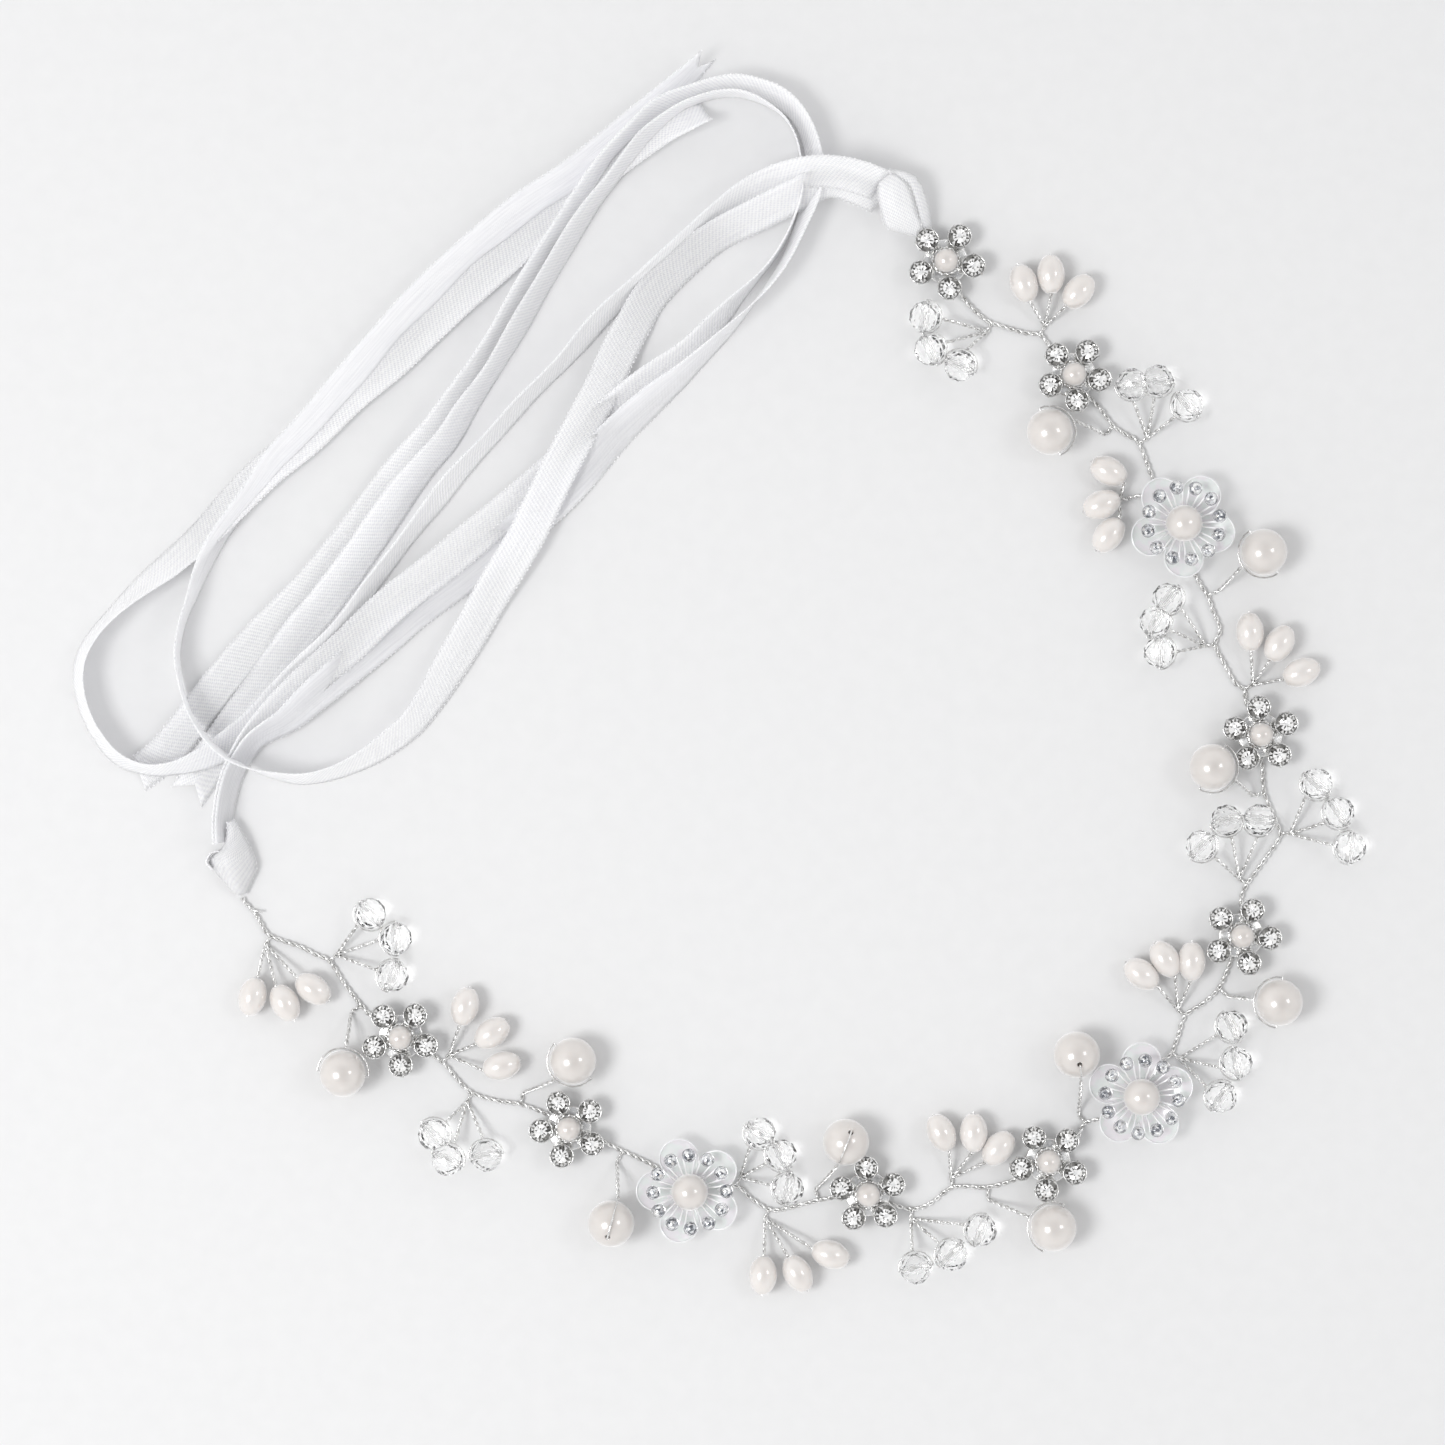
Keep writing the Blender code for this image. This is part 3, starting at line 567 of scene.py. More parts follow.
satin = woven_satin()
edge_yarn = selvedge_yarn()
print("made", satin.name, "and", edge_yarn.name)

# %% [markdown]
# **Routes and rolls.** A ribbon is a flat band, so its place needs more than a line. Each tail has the same
# route as its solid, with the height of its middle, and a roll that says how far it leans there: 0 lies flat,
# 90 stands on edge. The leaning stretches hold the tails up and make the curves possible, because a flat
# band doesn't bend sideways. The knots are short folded stretches, given by their two edges.

# %% Routes of the four tails
# Stations from the knot to the cut end, as (x, y, height of the ribbon's middle).
RIGHT_TAIL_OUTER = (
    (13.5, 99.4, 5.2), (10.5, 100.4, 6.4), (6.7, 101.3, 6.8), (1.8, 101.6, 6.8), (-4.8, 100.4, 5.0),
    (-10.9, 97.8, 3.8), (-16.3, 94.0, 3.3), (-22.0, 88.7, 3.0), (-28.8, 82.6, 3.0), (-34.9, 76.7, 3.0),
    (-41.3, 69.3, 3.2), (-47.6, 63.0, 3.2), (-54.0, 55.9, 3.2), (-59.6, 49.8, 3.2), (-63.8, 44.5, 3.2),
    (-67.9, 39.3, 3.2), (-75.1, 29.9, 3.2), (-80.6, 22.6, 3.0), (-87.8, 14.6, 2.4), (-93.2, 8.5, 2.1),
    (-96.8, 4.9, 2.1), (-100.8, 1.9, 3.2), (-105.0, -0.2, 3.6), (-109.5, -1.4, 3.6),
    (-114.1, -1.4, 3.4), (-118.6, 0.5, 3.2), (-121.9, 4.3, 3.2), (-124.1, 8.7, 3.2),
    (-125.2, 13.6, 3.2), (-124.7, 17.9, 3.2), (-122.4, 21.9, 3.2), (-118.6, 26.1, 3.0),
    (-113.9, 30.4, 2.6), (-109.0, 34.3, 2.2), (-103.1, 39.7, 1.6), (-97.7, 45.6, 1.0),
    (-92.7, 50.5, 0.9), (-86.0, 55.9, 0.9), (-78.7, 63.0, 0.9), (-71.6, 68.9, 0.9), (-65.2, 75.0, 0.9),
    (-59.9, 79.9, 0.9), (-55.4, 83.9, 0.9), (-50.7, 88.0, 0.9), (-46.0, 92.6, 0.9), (-42.0, 96.0, 0.9),
    (-37.7, 99.9, 0.9), (-33.0, 103.9, 0.9), (-28.1, 107.5, 0.9), (-23.8, 110.1, 1.2),
    (-19.4, 111.4, 2.2), (-15.6, 112.4, 2.8),
)
RIGHT_TAIL_INNER = (
    (13.7, 97.4, 2.9), (9.8, 99.0, 4.4), (4.8, 100.2, 4.9), (-0.6, 98.0, 4.6), (-7.4, 94.7, 3.4),
    (-13.3, 91.9, 1.8), (-18.4, 88.4, 1.6), (-23.2, 84.2, 1.6), (-26.9, 79.9, 1.6), (-29.1, 75.9, 1.8),
    (-31.6, 71.2, 2.2), (-34.5, 64.7, 2.8), (-38.2, 57.8, 3.0), (-41.7, 51.2, 3.1), (-45.3, 43.8, 3.1),
    (-47.9, 38.5, 2.9), (-50.9, 33.6, 2.4), (-53.9, 28.7, 1.9), (-57.5, 22.3, 1.7), (-61.2, 16.2, 2.0),
    (-64.1, 11.3, 2.4), (-67.8, 6.3, 2.8), (-73.3, 1.9, 3.2), (-77.9, -0.7, 3.3), (-82.4, -2.4, 3.4),
    (-86.9, -3.1, 3.6), (-91.4, -2.4, 4.2), (-95.6, -1.2, 5.0), (-98.9, 0.5, 5.4), (-101.7, 2.8, 5.6),
    (-104.1, 5.7, 5.2), (-106.1, 9.2, 4.6), (-107.4, 13.7, 3.8), (-108.0, 18.3, 3.4),
    (-107.3, 23.3, 3.2), (-105.7, 27.8, 3.2), (-103.8, 32.9, 3.2), (-101.5, 37.6, 3.2),
    (-98.6, 41.9, 3.2), (-95.1, 46.5, 3.1), (-90.7, 52.4, 3.0), (-85.2, 58.1, 2.6), (-78.7, 65.6, 2.3),
    (-72.6, 72.7, 2.2), (-67.1, 78.8, 2.2), (-61.2, 84.7, 2.2), (-55.8, 89.6, 2.2), (-47.8, 96.0, 2.2),
    (-40.5, 100.7, 2.2), (-34.4, 105.4, 1.8), (-29.3, 109.8, 1.4), (-24.6, 114.0, 1.4),
    (-20.4, 117.8, 1.8), (-16.1, 122.0, 2.8),
)
LEFT_TAIL_INNER = (
    (-100.7, -14.1, 3.0), (-100.8, -10.8, 3.2), (-100.3, -7.0, 3.2), (-99.3, -3.0, 3.0),
    (-97.5, 1.0, 3.2), (-95.1, 4.7, 3.9), (-91.4, 8.5, 4.3), (-86.9, 12.4, 3.8), (-82.4, 16.4, 3.2),
    (-77.9, 20.5, 2.8), (-73.7, 24.7, 2.6), (-69.2, 28.7, 2.6), (-63.4, 33.2, 2.4), (-57.2, 38.3, 1.8),
    (-51.1, 43.3, 1.1), (-45.3, 48.2, 0.9), (-39.4, 53.6, 0.9), (-33.8, 59.5, 1.4), (-26.7, 65.6, 2.4),
    (-19.4, 71.2, 3.0), (-11.7, 79.6, 3.2), (-6.7, 85.0, 3.2), (-3.4, 89.6, 3.2), (-1.1, 94.8, 2.9),
    (-0.1, 99.5, 2.6), (-0.3, 103.9, 2.8), (-1.1, 107.9, 3.2), (-3.2, 111.4, 3.2), (-6.7, 113.8, 3.2),
    (-10.5, 115.2, 3.2), (-14.2, 115.2, 3.2), (-17.7, 114.3, 3.2), (-21.1, 112.8, 3.3),
    (-24.6, 110.1, 3.4), (-27.2, 107.7, 3.4), (-29.8, 104.4, 3.4), (-33.0, 100.2, 3.3),
    (-35.8, 96.7, 3.3), (-38.4, 92.9, 3.2), (-41.0, 88.7, 3.2), (-45.8, 80.6, 3.2), (-49.7, 73.8, 3.2),
    (-53.9, 66.8, 3.0), (-58.0, 60.9, 2.8), (-61.5, 55.3, 2.6), (-65.9, 50.3, 2.4), (-70.0, 45.1, 2.2),
    (-76.6, 35.5, 1.8), (-82.6, 27.5, 1.4), (-86.9, 22.4, 1.1), (-91.8, 15.5, 0.9), (-94.4, 11.8, 0.9),
    (-97.7, 7.3, 0.8), (-101.4, 1.9, 0.8), (-104.1, -2.3, 0.8), (-106.9, -6.4, 0.8),
)
LEFT_TAIL_OUTER = (
    (-100.2, -14.2, 3.1), (-100.3, -10.9, 3.3), (-99.8, -7.1, 3.3), (-98.8, -3.1, 3.1), (-96.9, 0.7, 3.3),
    (-94.2, 4.0, 3.9), (-89.3, 7.0, 3.6), (-85.0, 10.8, 3.2), (-80.5, 14.6, 2.4), (-76.0, 18.4, 1.6),
    (-71.9, 21.9, 1.0), (-67.6, 25.6, 0.9), (-61.9, 29.8, 0.9), (-55.6, 34.6, 0.9), (-49.3, 39.7, 0.9),
    (-43.4, 44.7, 0.9), (-37.5, 50.8, 0.9), (-31.6, 57.4, 1.4), (-24.6, 63.9, 2.2), (-20.2, 67.6, 2.8),
    (-10.2, 77.3, 3.2), (-3.6, 85.8, 3.2), (0.0, 93.7, 3.0), (1.6, 98.6, 2.6), (2.0, 103.0, 2.6),
    (1.2, 107.7, 2.8), (-0.8, 111.7, 2.9), (-3.9, 114.6, 3.0), (-7.4, 116.0, 2.9), (-11.0, 116.9, 3.0),
    (-14.7, 116.6, 3.1), (-18.5, 115.5, 3.1), (-21.5, 114.5, 3.2), (-25.0, 112.9, 3.4), (-27.9, 110.3, 3.4),
    (-32.3, 106.0, 3.3), (-35.1, 102.3, 3.3), (-37.8, 98.1, 3.2), (-40.6, 93.8, 3.2), (-43.2, 89.8, 3.2),
    (-48.1, 81.8, 3.2), (-52.3, 74.6, 3.2), (-56.5, 67.7, 3.0), (-60.5, 61.8, 2.6), (-63.9, 56.7, 2.2),
    (-68.3, 51.5, 1.6), (-72.3, 46.5, 1.2), (-79.1, 37.4, 0.9), (-85.0, 30.4, 0.9), (-89.0, 26.3, 0.9),
    (-93.9, 21.4, 0.9), (-99.3, 15.3, 0.9), (-104.7, 8.5, 0.9), (-109.9, 1.9, 0.8), (-113.0, -0.9, 0.8),
    (-115.8, -2.8, 0.8),
)

# %% Rolls along the tails, as (station, degrees), and the knots' folds
RIGHT_OUTER_ROLL = (
    (0, -35), (3, -35), (4, -45), (6, -68), (17, -68), (19, -42), (21, -42), (23, -70), (30, -70), (31, -60),
    (34, -30), (36, -8), (49, -8), (50, -35), (51, -60),
)
RIGHT_INNER_ROLL = (
    (0, -35), (4, -35), (6, -25), (9, -22), (11, -8), (15, -8), (18, -15), (22, -60), (25, -75), (28, -90),
    (32, -90), (35, -100), (38, -110), (41, -143), (48, -147), (50, -160), (51, -140), (53, -105),
)
LEFT_INNER_ROLL = (
    (0, 65), (5, 62), (8, 12), (16, 10), (19, 50), (21, 88), (32, 92), (35, 112), (42, 114), (44, 130),
    (47, 150), (50, 172), (55, 174),
)
LEFT_OUTER_ROLL = (
    (0, 65), (5, 62), (9, 10), (16, 8), (19, 62), (20, 88), (22, 111), (24, 122), (26, 118), (28, 117),
    (30, 109), (32, 108), (35, 112), (42, 114), (44, 140), (46, 170), (55, 173),
)
# Each knot is folded from the ribbon: rows across it as (left edge, right edge, bulge between them).
LEFT_KNOT_FRONT = (
    ((-98.0, -23.5, 1.0), (-96.5, -23.1, 0.9), 0.5),
    ((-99.8, -21.8, 1.2), (-95.6, -21.1, 0.9), 2.6),
    ((-101.5, -19.7, 1.4), (-94.7, -19.0, 1.2), 3.6),
    ((-102.7, -17.9, 1.9), (-94.9, -17.2, 1.4), 3.8),
    ((-102.2, -16.7, 2.6), (-95.6, -15.3, 1.6), 3.1),
    ((-100.3, -15.3, 3.2), (-96.5, -13.6, 1.9), 2.0),
    ((-99.6, -12.9, 3.3), (-97.4, -12.0, 2.0), 1.0),
    ((-99.6, -10.8, 3.4), (-98.4, -10.4, 1.9), 0.3),
)
LEFT_KNOT_FOLD = (
    ((-102.2, -18.8, 1.2), (-102.2, -18.8, 4.6), 0.0),
    ((-103.1, -17.6, 0.9), (-103.1, -17.6, 4.2), 0.0),
    ((-102.4, -16.2, 0.9), (-102.4, -16.2, 4.0), 0.0),
    ((-101.0, -15.8, 0.9), (-101.0, -15.8, 3.9), 0.0),
    ((-99.8, -16.5, 1.0), (-99.8, -16.5, 4.0), 0.0),
    ((-99.6, -17.6, 1.4), (-99.6, -17.6, 4.3), 0.0),
)
LEFT_KNOT_BACK = (
    ((-97.7, -23.5, 0.9), (-96.8, -23.1, 0.9), 0.0),
    ((-99.4, -21.8, 1.0), (-96.0, -21.1, 0.9), -0.5),
    ((-101.2, -19.7, 1.1), (-95.1, -19.0, 1.1), -0.7),
    ((-102.2, -17.9, 1.5), (-95.3, -17.2, 1.3), -1.0),
    ((-101.9, -16.7, 2.0), (-95.8, -15.3, 1.4), -1.0),
    ((-100.1, -15.3, 2.4), (-96.7, -13.9, 1.6), -0.9),
)
RIGHT_KNOT_FRONT = (
    ((13.7, 100.7, 5.6), (15.9, 101.4, 6.0), 0.2),
    ((13.1, 98.8, 5.9), (18.2, 99.2, 6.0), 0.8),
    ((13.3, 96.4, 5.7), (19.2, 96.6, 5.7), 1.0),
    ((13.7, 94.7, 4.9), (19.9, 94.3, 5.0), 1.0),
    ((14.2, 92.9, 3.6), (20.8, 92.2, 3.8), 0.8),
    ((15.2, 92.2, 1.9), (20.1, 90.8, 2.2), 0.5),
)
RIGHT_KNOT_SIDE = (
    ((14.4, 101.3, 6.1), (15.2, 102.0, 5.6), 0.1),
    ((16.4, 100.9, 6.1), (17.7, 101.6, 5.2), 0.3),
    ((18.4, 99.7, 6.0), (19.7, 100.6, 4.8), 0.4),
    ((19.4, 97.6, 5.6), (21.0, 98.3, 4.2), 0.4),
    ((20.1, 95.2, 5.0), (21.8, 95.9, 3.2), 0.4),
    ((20.8, 92.9, 4.0), (22.5, 93.1, 1.8), 0.4),
    ((21.3, 91.5, 2.2), (22.5, 91.0, 1.0), 0.2),
)
RIGHT_KNOT_BACK = (
    ((15.1, 92.2, 1.8), (19.9, 90.8, 2.1), -0.4),
    ((14.4, 93.8, 1.5), (20.6, 92.4, 1.3), -0.5),
    ((14.0, 96.0, 2.4), (19.6, 95.4, 1.6), -0.6),
    ((13.8, 98.1, 3.6), (18.5, 98.1, 2.8), -0.5),
    ((14.4, 99.9, 4.6), (17.1, 100.2, 4.2), -0.2),
)
print("four tails with", len(RIGHT_TAIL_OUTER), "or more stations each")

# %% [markdown]
# **From stations to a smooth band.** A spline through the stations gives the middle line at any length. The
# roll is read along the same length and smoothed over a few millimetres, since a ribbon can't change its lean
# at a point. Across the band the two edges curl up very slightly, as woven edges do.

# %% A smooth route
RIBBON_WIDTH = 6.3
RIBBON_THICKNESS = 0.22
LOWEST_MIDDLE = 0.18
ACROSS = np.linspace(-1, 1, 9)
ROLL_SMOOTHING = 4.0


def spline_points(stations, steps):
    """A Catmull-Rom curve through the stations."""
    p = np.array([2 * stations[0] - stations[1], *stations, 2 * stations[-1] - stations[-2]])
    t = np.linspace(0, 1, steps, endpoint=False)[:, None]
    parts = []
    for a, b, c, d in zip(p, p[1:], p[2:], p[3:]):
        square, cube = 2 * a - 5 * b + 4 * c - d, 3 * b - a - 3 * c + d
        parts.append(0.5 * (2 * b + (c - a) * t + square * t**2 + cube * t**3))
    return np.vstack([*parts, p[-2:-1]])


def middle_line(stations, rolls):
    """Functions of length: the middle point and the roll in radians. Also the full length."""
    steps = 16
    line = spline_points(np.array(stations, float) - np.array([*LAYOUT_MIDDLE]), steps)
    reached = np.concatenate([[0], np.cumsum(np.linalg.norm(np.diff(line, axis=0), axis=1))])
    at_station = reached[::steps]
    even = np.arange(0, reached[-1] + 0.5, 0.5)
    roll = np.interp(even, [at_station[i] for i, _ in rolls], [r for _, r in rolls])
    kernel = np.exp(-0.5 * (np.arange(-24, 25) * 0.5 / ROLL_SMOOTHING) ** 2)
    padded = np.concatenate([np.full(24, roll[0]), roll, np.full(24, roll[-1])])
    roll = np.radians(np.convolve(padded, kernel / kernel.sum(), "valid"))

    def point(s):
        return np.stack([np.interp(s, reached, line[:, k]) for k in range(3)], axis=-1)

    return point, lambda s: np.interp(s, even, roll), reached[-1]


# %% [markdown]
# The band is a closed skin: an upper sheet, a lower sheet and thin walls between them. The weave needs the
# distance along and across in millimetres, so the sheet also gets its UV map here. A line of small stitches
# follows each long edge, made by the stitch tree, because a woven edge shows as a row of white dots.

# %% A sheet of ribbon
STITCH_SIZE = 0.2
STITCH_PITCH = 0.92


def ribbon_sheet(name, grid, smooth_side=0):
    """grid is rows x across x 3, in millimetres. smooth_side is the side that shows the smooth back."""
    rows, across = grid.shape[:2]
    along = np.gradient(grid, axis=0)
    sideways = np.gradient(grid, axis=1)
    normal = np.cross(along, sideways)
    normal /= np.maximum(np.linalg.norm(normal, axis=2, keepdims=True), 1e-9)
    half = normal * RIBBON_THICKNESS / 2
    points = np.vstack([(grid + half).reshape(-1, 3), (grid - half).reshape(-1, 3)]) * MM
    under = rows * across
    faces, walls = [], []
    for i in range(rows - 1):
        for j in range(across - 1):
            a = i * across + j
            faces.append((a, a + 1, a + across + 1, a + across))
            faces.append((under + a, under + a + across, under + a + across + 1, under + a + 1))
        for a, b in ((i * across, (i + 1) * across), ((i + 1) * across - 1, (i + 2) * across - 1)):
            walls.append((a, b, under + b, under + a))
    for j in range(across - 1):
        for a, b in ((j, j + 1), ((rows - 1) * across + j, (rows - 1) * across + j + 1)):
            walls.append((a, b, under + b, under + a))
    sheet = mesh_object(name, points, faces + walls, satin)
    middle = grid[:, across // 2]
    travelled = np.concatenate([[0], np.cumsum(np.linalg.norm(np.diff(middle, axis=0), axis=1))])
    strips = np.linalg.norm(np.diff(grid, axis=1), axis=2)
    widths = np.concatenate([np.zeros((rows, 1)), np.cumsum(strips, axis=1)], 1)
    uv = sheet.data.uv_layers.new(name="ribbon").data
    for k, face in enumerate(sheet.data.polygons):
        upper = k % 2 == 0 if k < len(faces) else True
        back = BACK_FACE_V if k < len(faces) and smooth_side == (1 if upper else -1) else 0
        for loop in face.loop_indices:
            i, j = divmod(sheet.data.loops[loop].vertex_index % under, across)
            uv[loop].uv = (travelled[i], widths[i, j] + back)
    edges = lines(name + "_edges", [[Vector(p) * MM for p in grid[:, side]] for side in (0, -1)])
    sizes = {"Size": STITCH_SIZE * MM, "Pitch": STITCH_PITCH * MM, "Finish": edge_yarn}
    stitches = grow(name + "_stitches", edge_stitches, edges, sizes)
    return joined(name, [sheet, stitches])


# %% [markdown]
# **The four tails.** The ribbon was cut with scissors: two ends have a notch like a swallow's tail, and the
# other two are cut at an angle. Each line of the band across its width stops at its own length there.

# %% Tails
CUT_REACH = 9.0
ROW_SPACING = 1.3
LOOK_AROUND = 0.6
TAILS = (
    ("right_ribbon_tail_outer", RIGHT_TAIL_OUTER, RIGHT_OUTER_ROLL, "slanted", -1),
    ("right_ribbon_tail_inner", RIGHT_TAIL_INNER, RIGHT_INNER_ROLL, "notched", -1),
    ("left_ribbon_tail_inner", LEFT_TAIL_INNER, LEFT_INNER_ROLL, "notched", 0),
    ("left_ribbon_tail_outer", LEFT_TAIL_OUTER, LEFT_OUTER_ROLL, "slanted", 1),
)
CUTS = {"slanted": 0.9 * (ACROSS + 1), "notched": 2.6 * (1 - np.abs(ACROSS))}


def tail_grid(stations, rolls, cut):
    point, roll, length = middle_line(stations, rolls)
    s = np.linspace(0, length, int(length / ROW_SPACING))[:, None] * np.ones(len(ACROSS))
    near_end = np.clip((s - (length - CUT_REACH)) / CUT_REACH, 0, 1)
    s = s - near_end * CUTS[cut]
    travel = point(s + LOOK_AROUND) - point(s - LOOK_AROUND)
    last = s > length - LOOK_AROUND
    travel[last] = (point(s) - point(s - 2 * LOOK_AROUND))[last]
    travel /= np.linalg.norm(travel, axis=2, keepdims=True)
    side = np.cross([0, 0, 1.0], travel)
    side /= np.linalg.norm(side, axis=2, keepdims=True)
    over = np.cross(travel, side)
    ripple = 0.05 * np.sin(s / 7.0) + 0.04 * np.sin(s / 3.1 + 1.0)
    angle = (roll(s) + ripple)[..., None]
    across = side * np.cos(angle) + over * np.sin(angle)
    curl = np.cross(travel, across) * (0.22 * ACROSS**2 + 0.06 * np.sin(s / 5.0 + 2 * ACROSS))[..., None]
    middle = point(s[:, len(ACROSS) // 2])
    return point(s) + across * (ACROSS * RIBBON_WIDTH / 2)[:, None] + curl, middle, length


tail_lines = {}
for name, stations, rolls, cut, smooth_side in TAILS:
    grid, middle, length = tail_grid(stations, rolls, cut)
    grid[..., 2] = np.maximum(grid[..., 2], LOWEST_MIDDLE)
    tail = ribbon_sheet(name + "_satin", grid, smooth_side)
    tail_lines[name] = (tail, middle * MM, length * MM)
    print(name, round(length), "mm long,", len(tail.data.polygons), "faces")


# %% [markdown]
# **The knots.** Each ribbon is looped round the end of the vine and pulled flat, so a knot is a few folds
# lying on one another. Rows across each fold are joined by the same spline, in both directions.

# %% Folds
FOLD_STEPS = 5


def fold_grid(rows):
    columns = (np.array([row[k] for row in rows], float).reshape(len(rows), -1) for k in range(3))
    left, right, bulge = (spline_points(column, FOLD_STEPS) for column in columns)
    across = ACROSS[None, :, None]
    share = (across + 1) / 2
    grid = left[:, None] * (1 - share) + right[:, None] * share
    grid = grid + (bulge[:, None] * (1 - across**2)) * np.array([0, 0, 1.0])
    grid[..., 2] = np.maximum(grid[..., 2], LOWEST_MIDDLE)
    return grid - np.array([*LAYOUT_MIDDLE])


def knot(name, folds):
    sheets = [ribbon_sheet(f"{name}_fold_{i}", fold_grid(rows)) for i, rows in enumerate(folds, 1)]
    return dress(joined(name + "_folds", sheets), name, FRAME_BODY)


knots = {
    "right": knot("right_ribbon_knot", (RIGHT_KNOT_FRONT, RIGHT_KNOT_SIDE, RIGHT_KNOT_BACK)),
    "left": knot("left_ribbon_knot", (LEFT_KNOT_FRONT, LEFT_KNOT_FOLD, LEFT_KNOT_BACK)),
}
print("knots:", ", ".join(piece.name for piece in knots.values()))

for name, (tail, middle, length) in tail_lines.items():
    dress(tail, name, FRAME_BODY)
print("declared", len(tail_lines), "ribbon tails as cords")

# %% [markdown]
# ## The hard finishes
# **Silver-plated wire.** Plated copper craft wire is drawn, so it is bright, with fine dull streaks and a few
# darker spots where the plate is handled. It is a metal: full metallic, low roughness that varies a little.

# %% Silver-plated wire
def silver_plated_wire():
    material, tree, shader = new_material("silver_plated_wire")
    speckle = noise(tree, {"Scale": 900.0, "Detail": 3.0})
    tint(tree, shader, speckle, ((0.25, "#C4C3C1"), (0.6, "#F2F2F1"), (0.9, "#FDFDFC")))
    tree.links.new(between(tree, speckle, 0.14, 0.34), shader.inputs["Roughness"])
    set_values(shader, {"Metallic": 1.0})
    return material


wire_silver = silver_plated_wire()
print("made", wire_silver.name)

# %% [markdown]
# **Pearl.** An imitation pearl is a plastic or glass bead dipped in pearl essence. Light enters the thin
# coats and comes back soft and slightly warm, so a little subsurface scattering sits under a clear, smooth
# coat. Large faint clouds in the colour keep ten pearls from looking like one.

# %% Pearl essence
def pearl_essence(name, cool, warm, scale):
    material, tree, shader = new_material(name)
    tint(tree, shader, noise(tree, {"Scale": scale, "Detail": 2.0}), ((0.3, cool), (0.7, warm)))
    raise_surface(tree, shader, noise(tree, {"Scale": 2600.0, "Detail": 2.0}), 0.04, 0.0001)
    values = {
        "Roughness": 0.26,
        "Subsurface Weight": 0.18,
        "Subsurface Radius": (1.0, 0.85, 0.75),
        "Subsurface Scale": 0.0012,
        "IOR": 2.1,
        "Coat Weight": 1.0,
        "Coat IOR": 1.8,
        "Coat Roughness": 0.06,
        "Sheen Weight": 1.0,
        "Sheen Roughness": 0.4,
    }
    set_values(shader, values)
    return material


round_pearl_coat = pearl_essence("pearl_essence_coat", "#CBC5C0", "#D5CFCA", 260.0)
rice_pearl_coat = pearl_essence("rice_pearl_essence_coat", "#D9D3CE", "#E1DCD8", 300.0)
print("made", round_pearl_coat.name, "and", rice_pearl_coat.name)

# %% [markdown]
# **Crystal.** The clear beads are cut and polished lead-free glass. Real refraction through the facets gives
# the dark and bright wedges, so the shader is glass with its own index of refraction and no colour. The
# second glass is for the shells of the stamens' tips.

# %% Cut glass
def cut_glass(name, roughness):
    material, tree, shader = new_material(name)
    wear = noise(tree, {"Scale": 1500.0})
    tree.links.new(between(tree, wear, roughness, roughness + 0.03), shader.inputs["Roughness"])
    set_values(shader, {"Base Color": colour("#FFFFFF"), "IOR": 1.5, "Transmission Weight": 1.0})
    let_lamps_through(tree, shader, GLASS_LETS_THROUGH)
    return material


bead_glass = cut_glass("cut_crystal_glass", 0.0)
shell_glass = cut_glass("rhinestone_glass", 0.0)
print("made", bead_glass.name, "and", shell_glass.name)

# %% [markdown]
# ** Foil and glitter.** A rhinestone's back is silvered, and a stamen's tip is lined with broken silver, so
# both throw light back in flecks. In a tip, cells of a Voronoi pattern give the flecks, each with its own
# painted grey that stands in for the light its flake throws back, and the same cells raise the flakes a
# little.
# A stone is one solid silvered piece here, and each of its facets is given its own painted glint in its
# colour.

# %% Silver foil and silver lining
def silver_foil(name, fleck_size, dark, light, roughness):
    material, tree, shader = new_material(name)
    where = add(tree, "ShaderNodeTexCoord").outputs["Object"]
    flecks = add(tree, "ShaderNodeTexVoronoi", {"Scale": 1 / (fleck_size * MM)}, {"Vector": where})
    grey = add(tree, "ShaderNodeSeparateColor", links={"Color": flecks.outputs["Color"]})
    # Each cell's grey, from dark to white, is painted glitter: it stands in for the light each silver flake
    # throws back.
    tint(tree, shader, grey.outputs["Red"], ((0.1, dark), (0.45, "#D4D6DA"), (0.8, light)))
    raise_surface(tree, shader, grey.outputs["Green"], 0.5, 0.0002)
    set_values(shader, {"Metallic": 1.0, "Roughness": roughness})
    return material


def faceted_silver():
    """Each facet's glint is painted into its colour: bright where it would throw light back up, dark where it
    would throw it aside.
    """
    material, tree, shader = new_material("silvered_stone")
    painted_facet_glint = add(tree, "ShaderNodeAttribute", attribute_name="painted_facet_glint").outputs["Fac"]
    # The colour follows each facet's painted glint, from dark grey to white: painted reflection.
    tint(tree, shader, painted_facet_glint, ((0.0, "#2E2D2B"), (0.3, "#7E7D7A"), (0.5, "#EDECEA"), (0.9, "#FFFFFF")))
    set_values(shader, {"Metallic": 0.5, "Roughness": 0.12, "Coat Weight": 1.0, "Coat Roughness": 0.03})
    return material


stone_foil = faceted_silver()
silver_lining = silver_foil("broken_silver_lining", 0.45, "#6E727A", "#FFFFFF", 0.2)
print("made", stone_foil.name, "and", silver_lining.name)

# %% [markdown]
# **Pearly sequin film.** The petals are punched from thin clear film with a pearl coat. Light passes through
# and leaves a soft pink and green shift, so the film is partly clear and clouds of those tints lie in it.

# %% Sequin film
def sequin_film():
    material, tree, shader = new_material("pearly_sequin_film")
    clouds = noise(tree, {"Scale": 420.0, "Detail": 3.0})
    tint(tree, shader, clouds, ((0.3, "#FAFAFC"), (0.45, "#FFFBFF"), (0.55, "#FAFFFD"), (0.7, "#FFFFFF")))
    set_values(shader, {"Roughness": 0.2, "Transmission Weight": 0.5, "IOR": 1.45})
    set_values(shader, {"Coat Weight": 0.6, "Coat Roughness": 0.08})
    let_lamps_through(tree, shader, FILM_LETS_THROUGH)
    return material


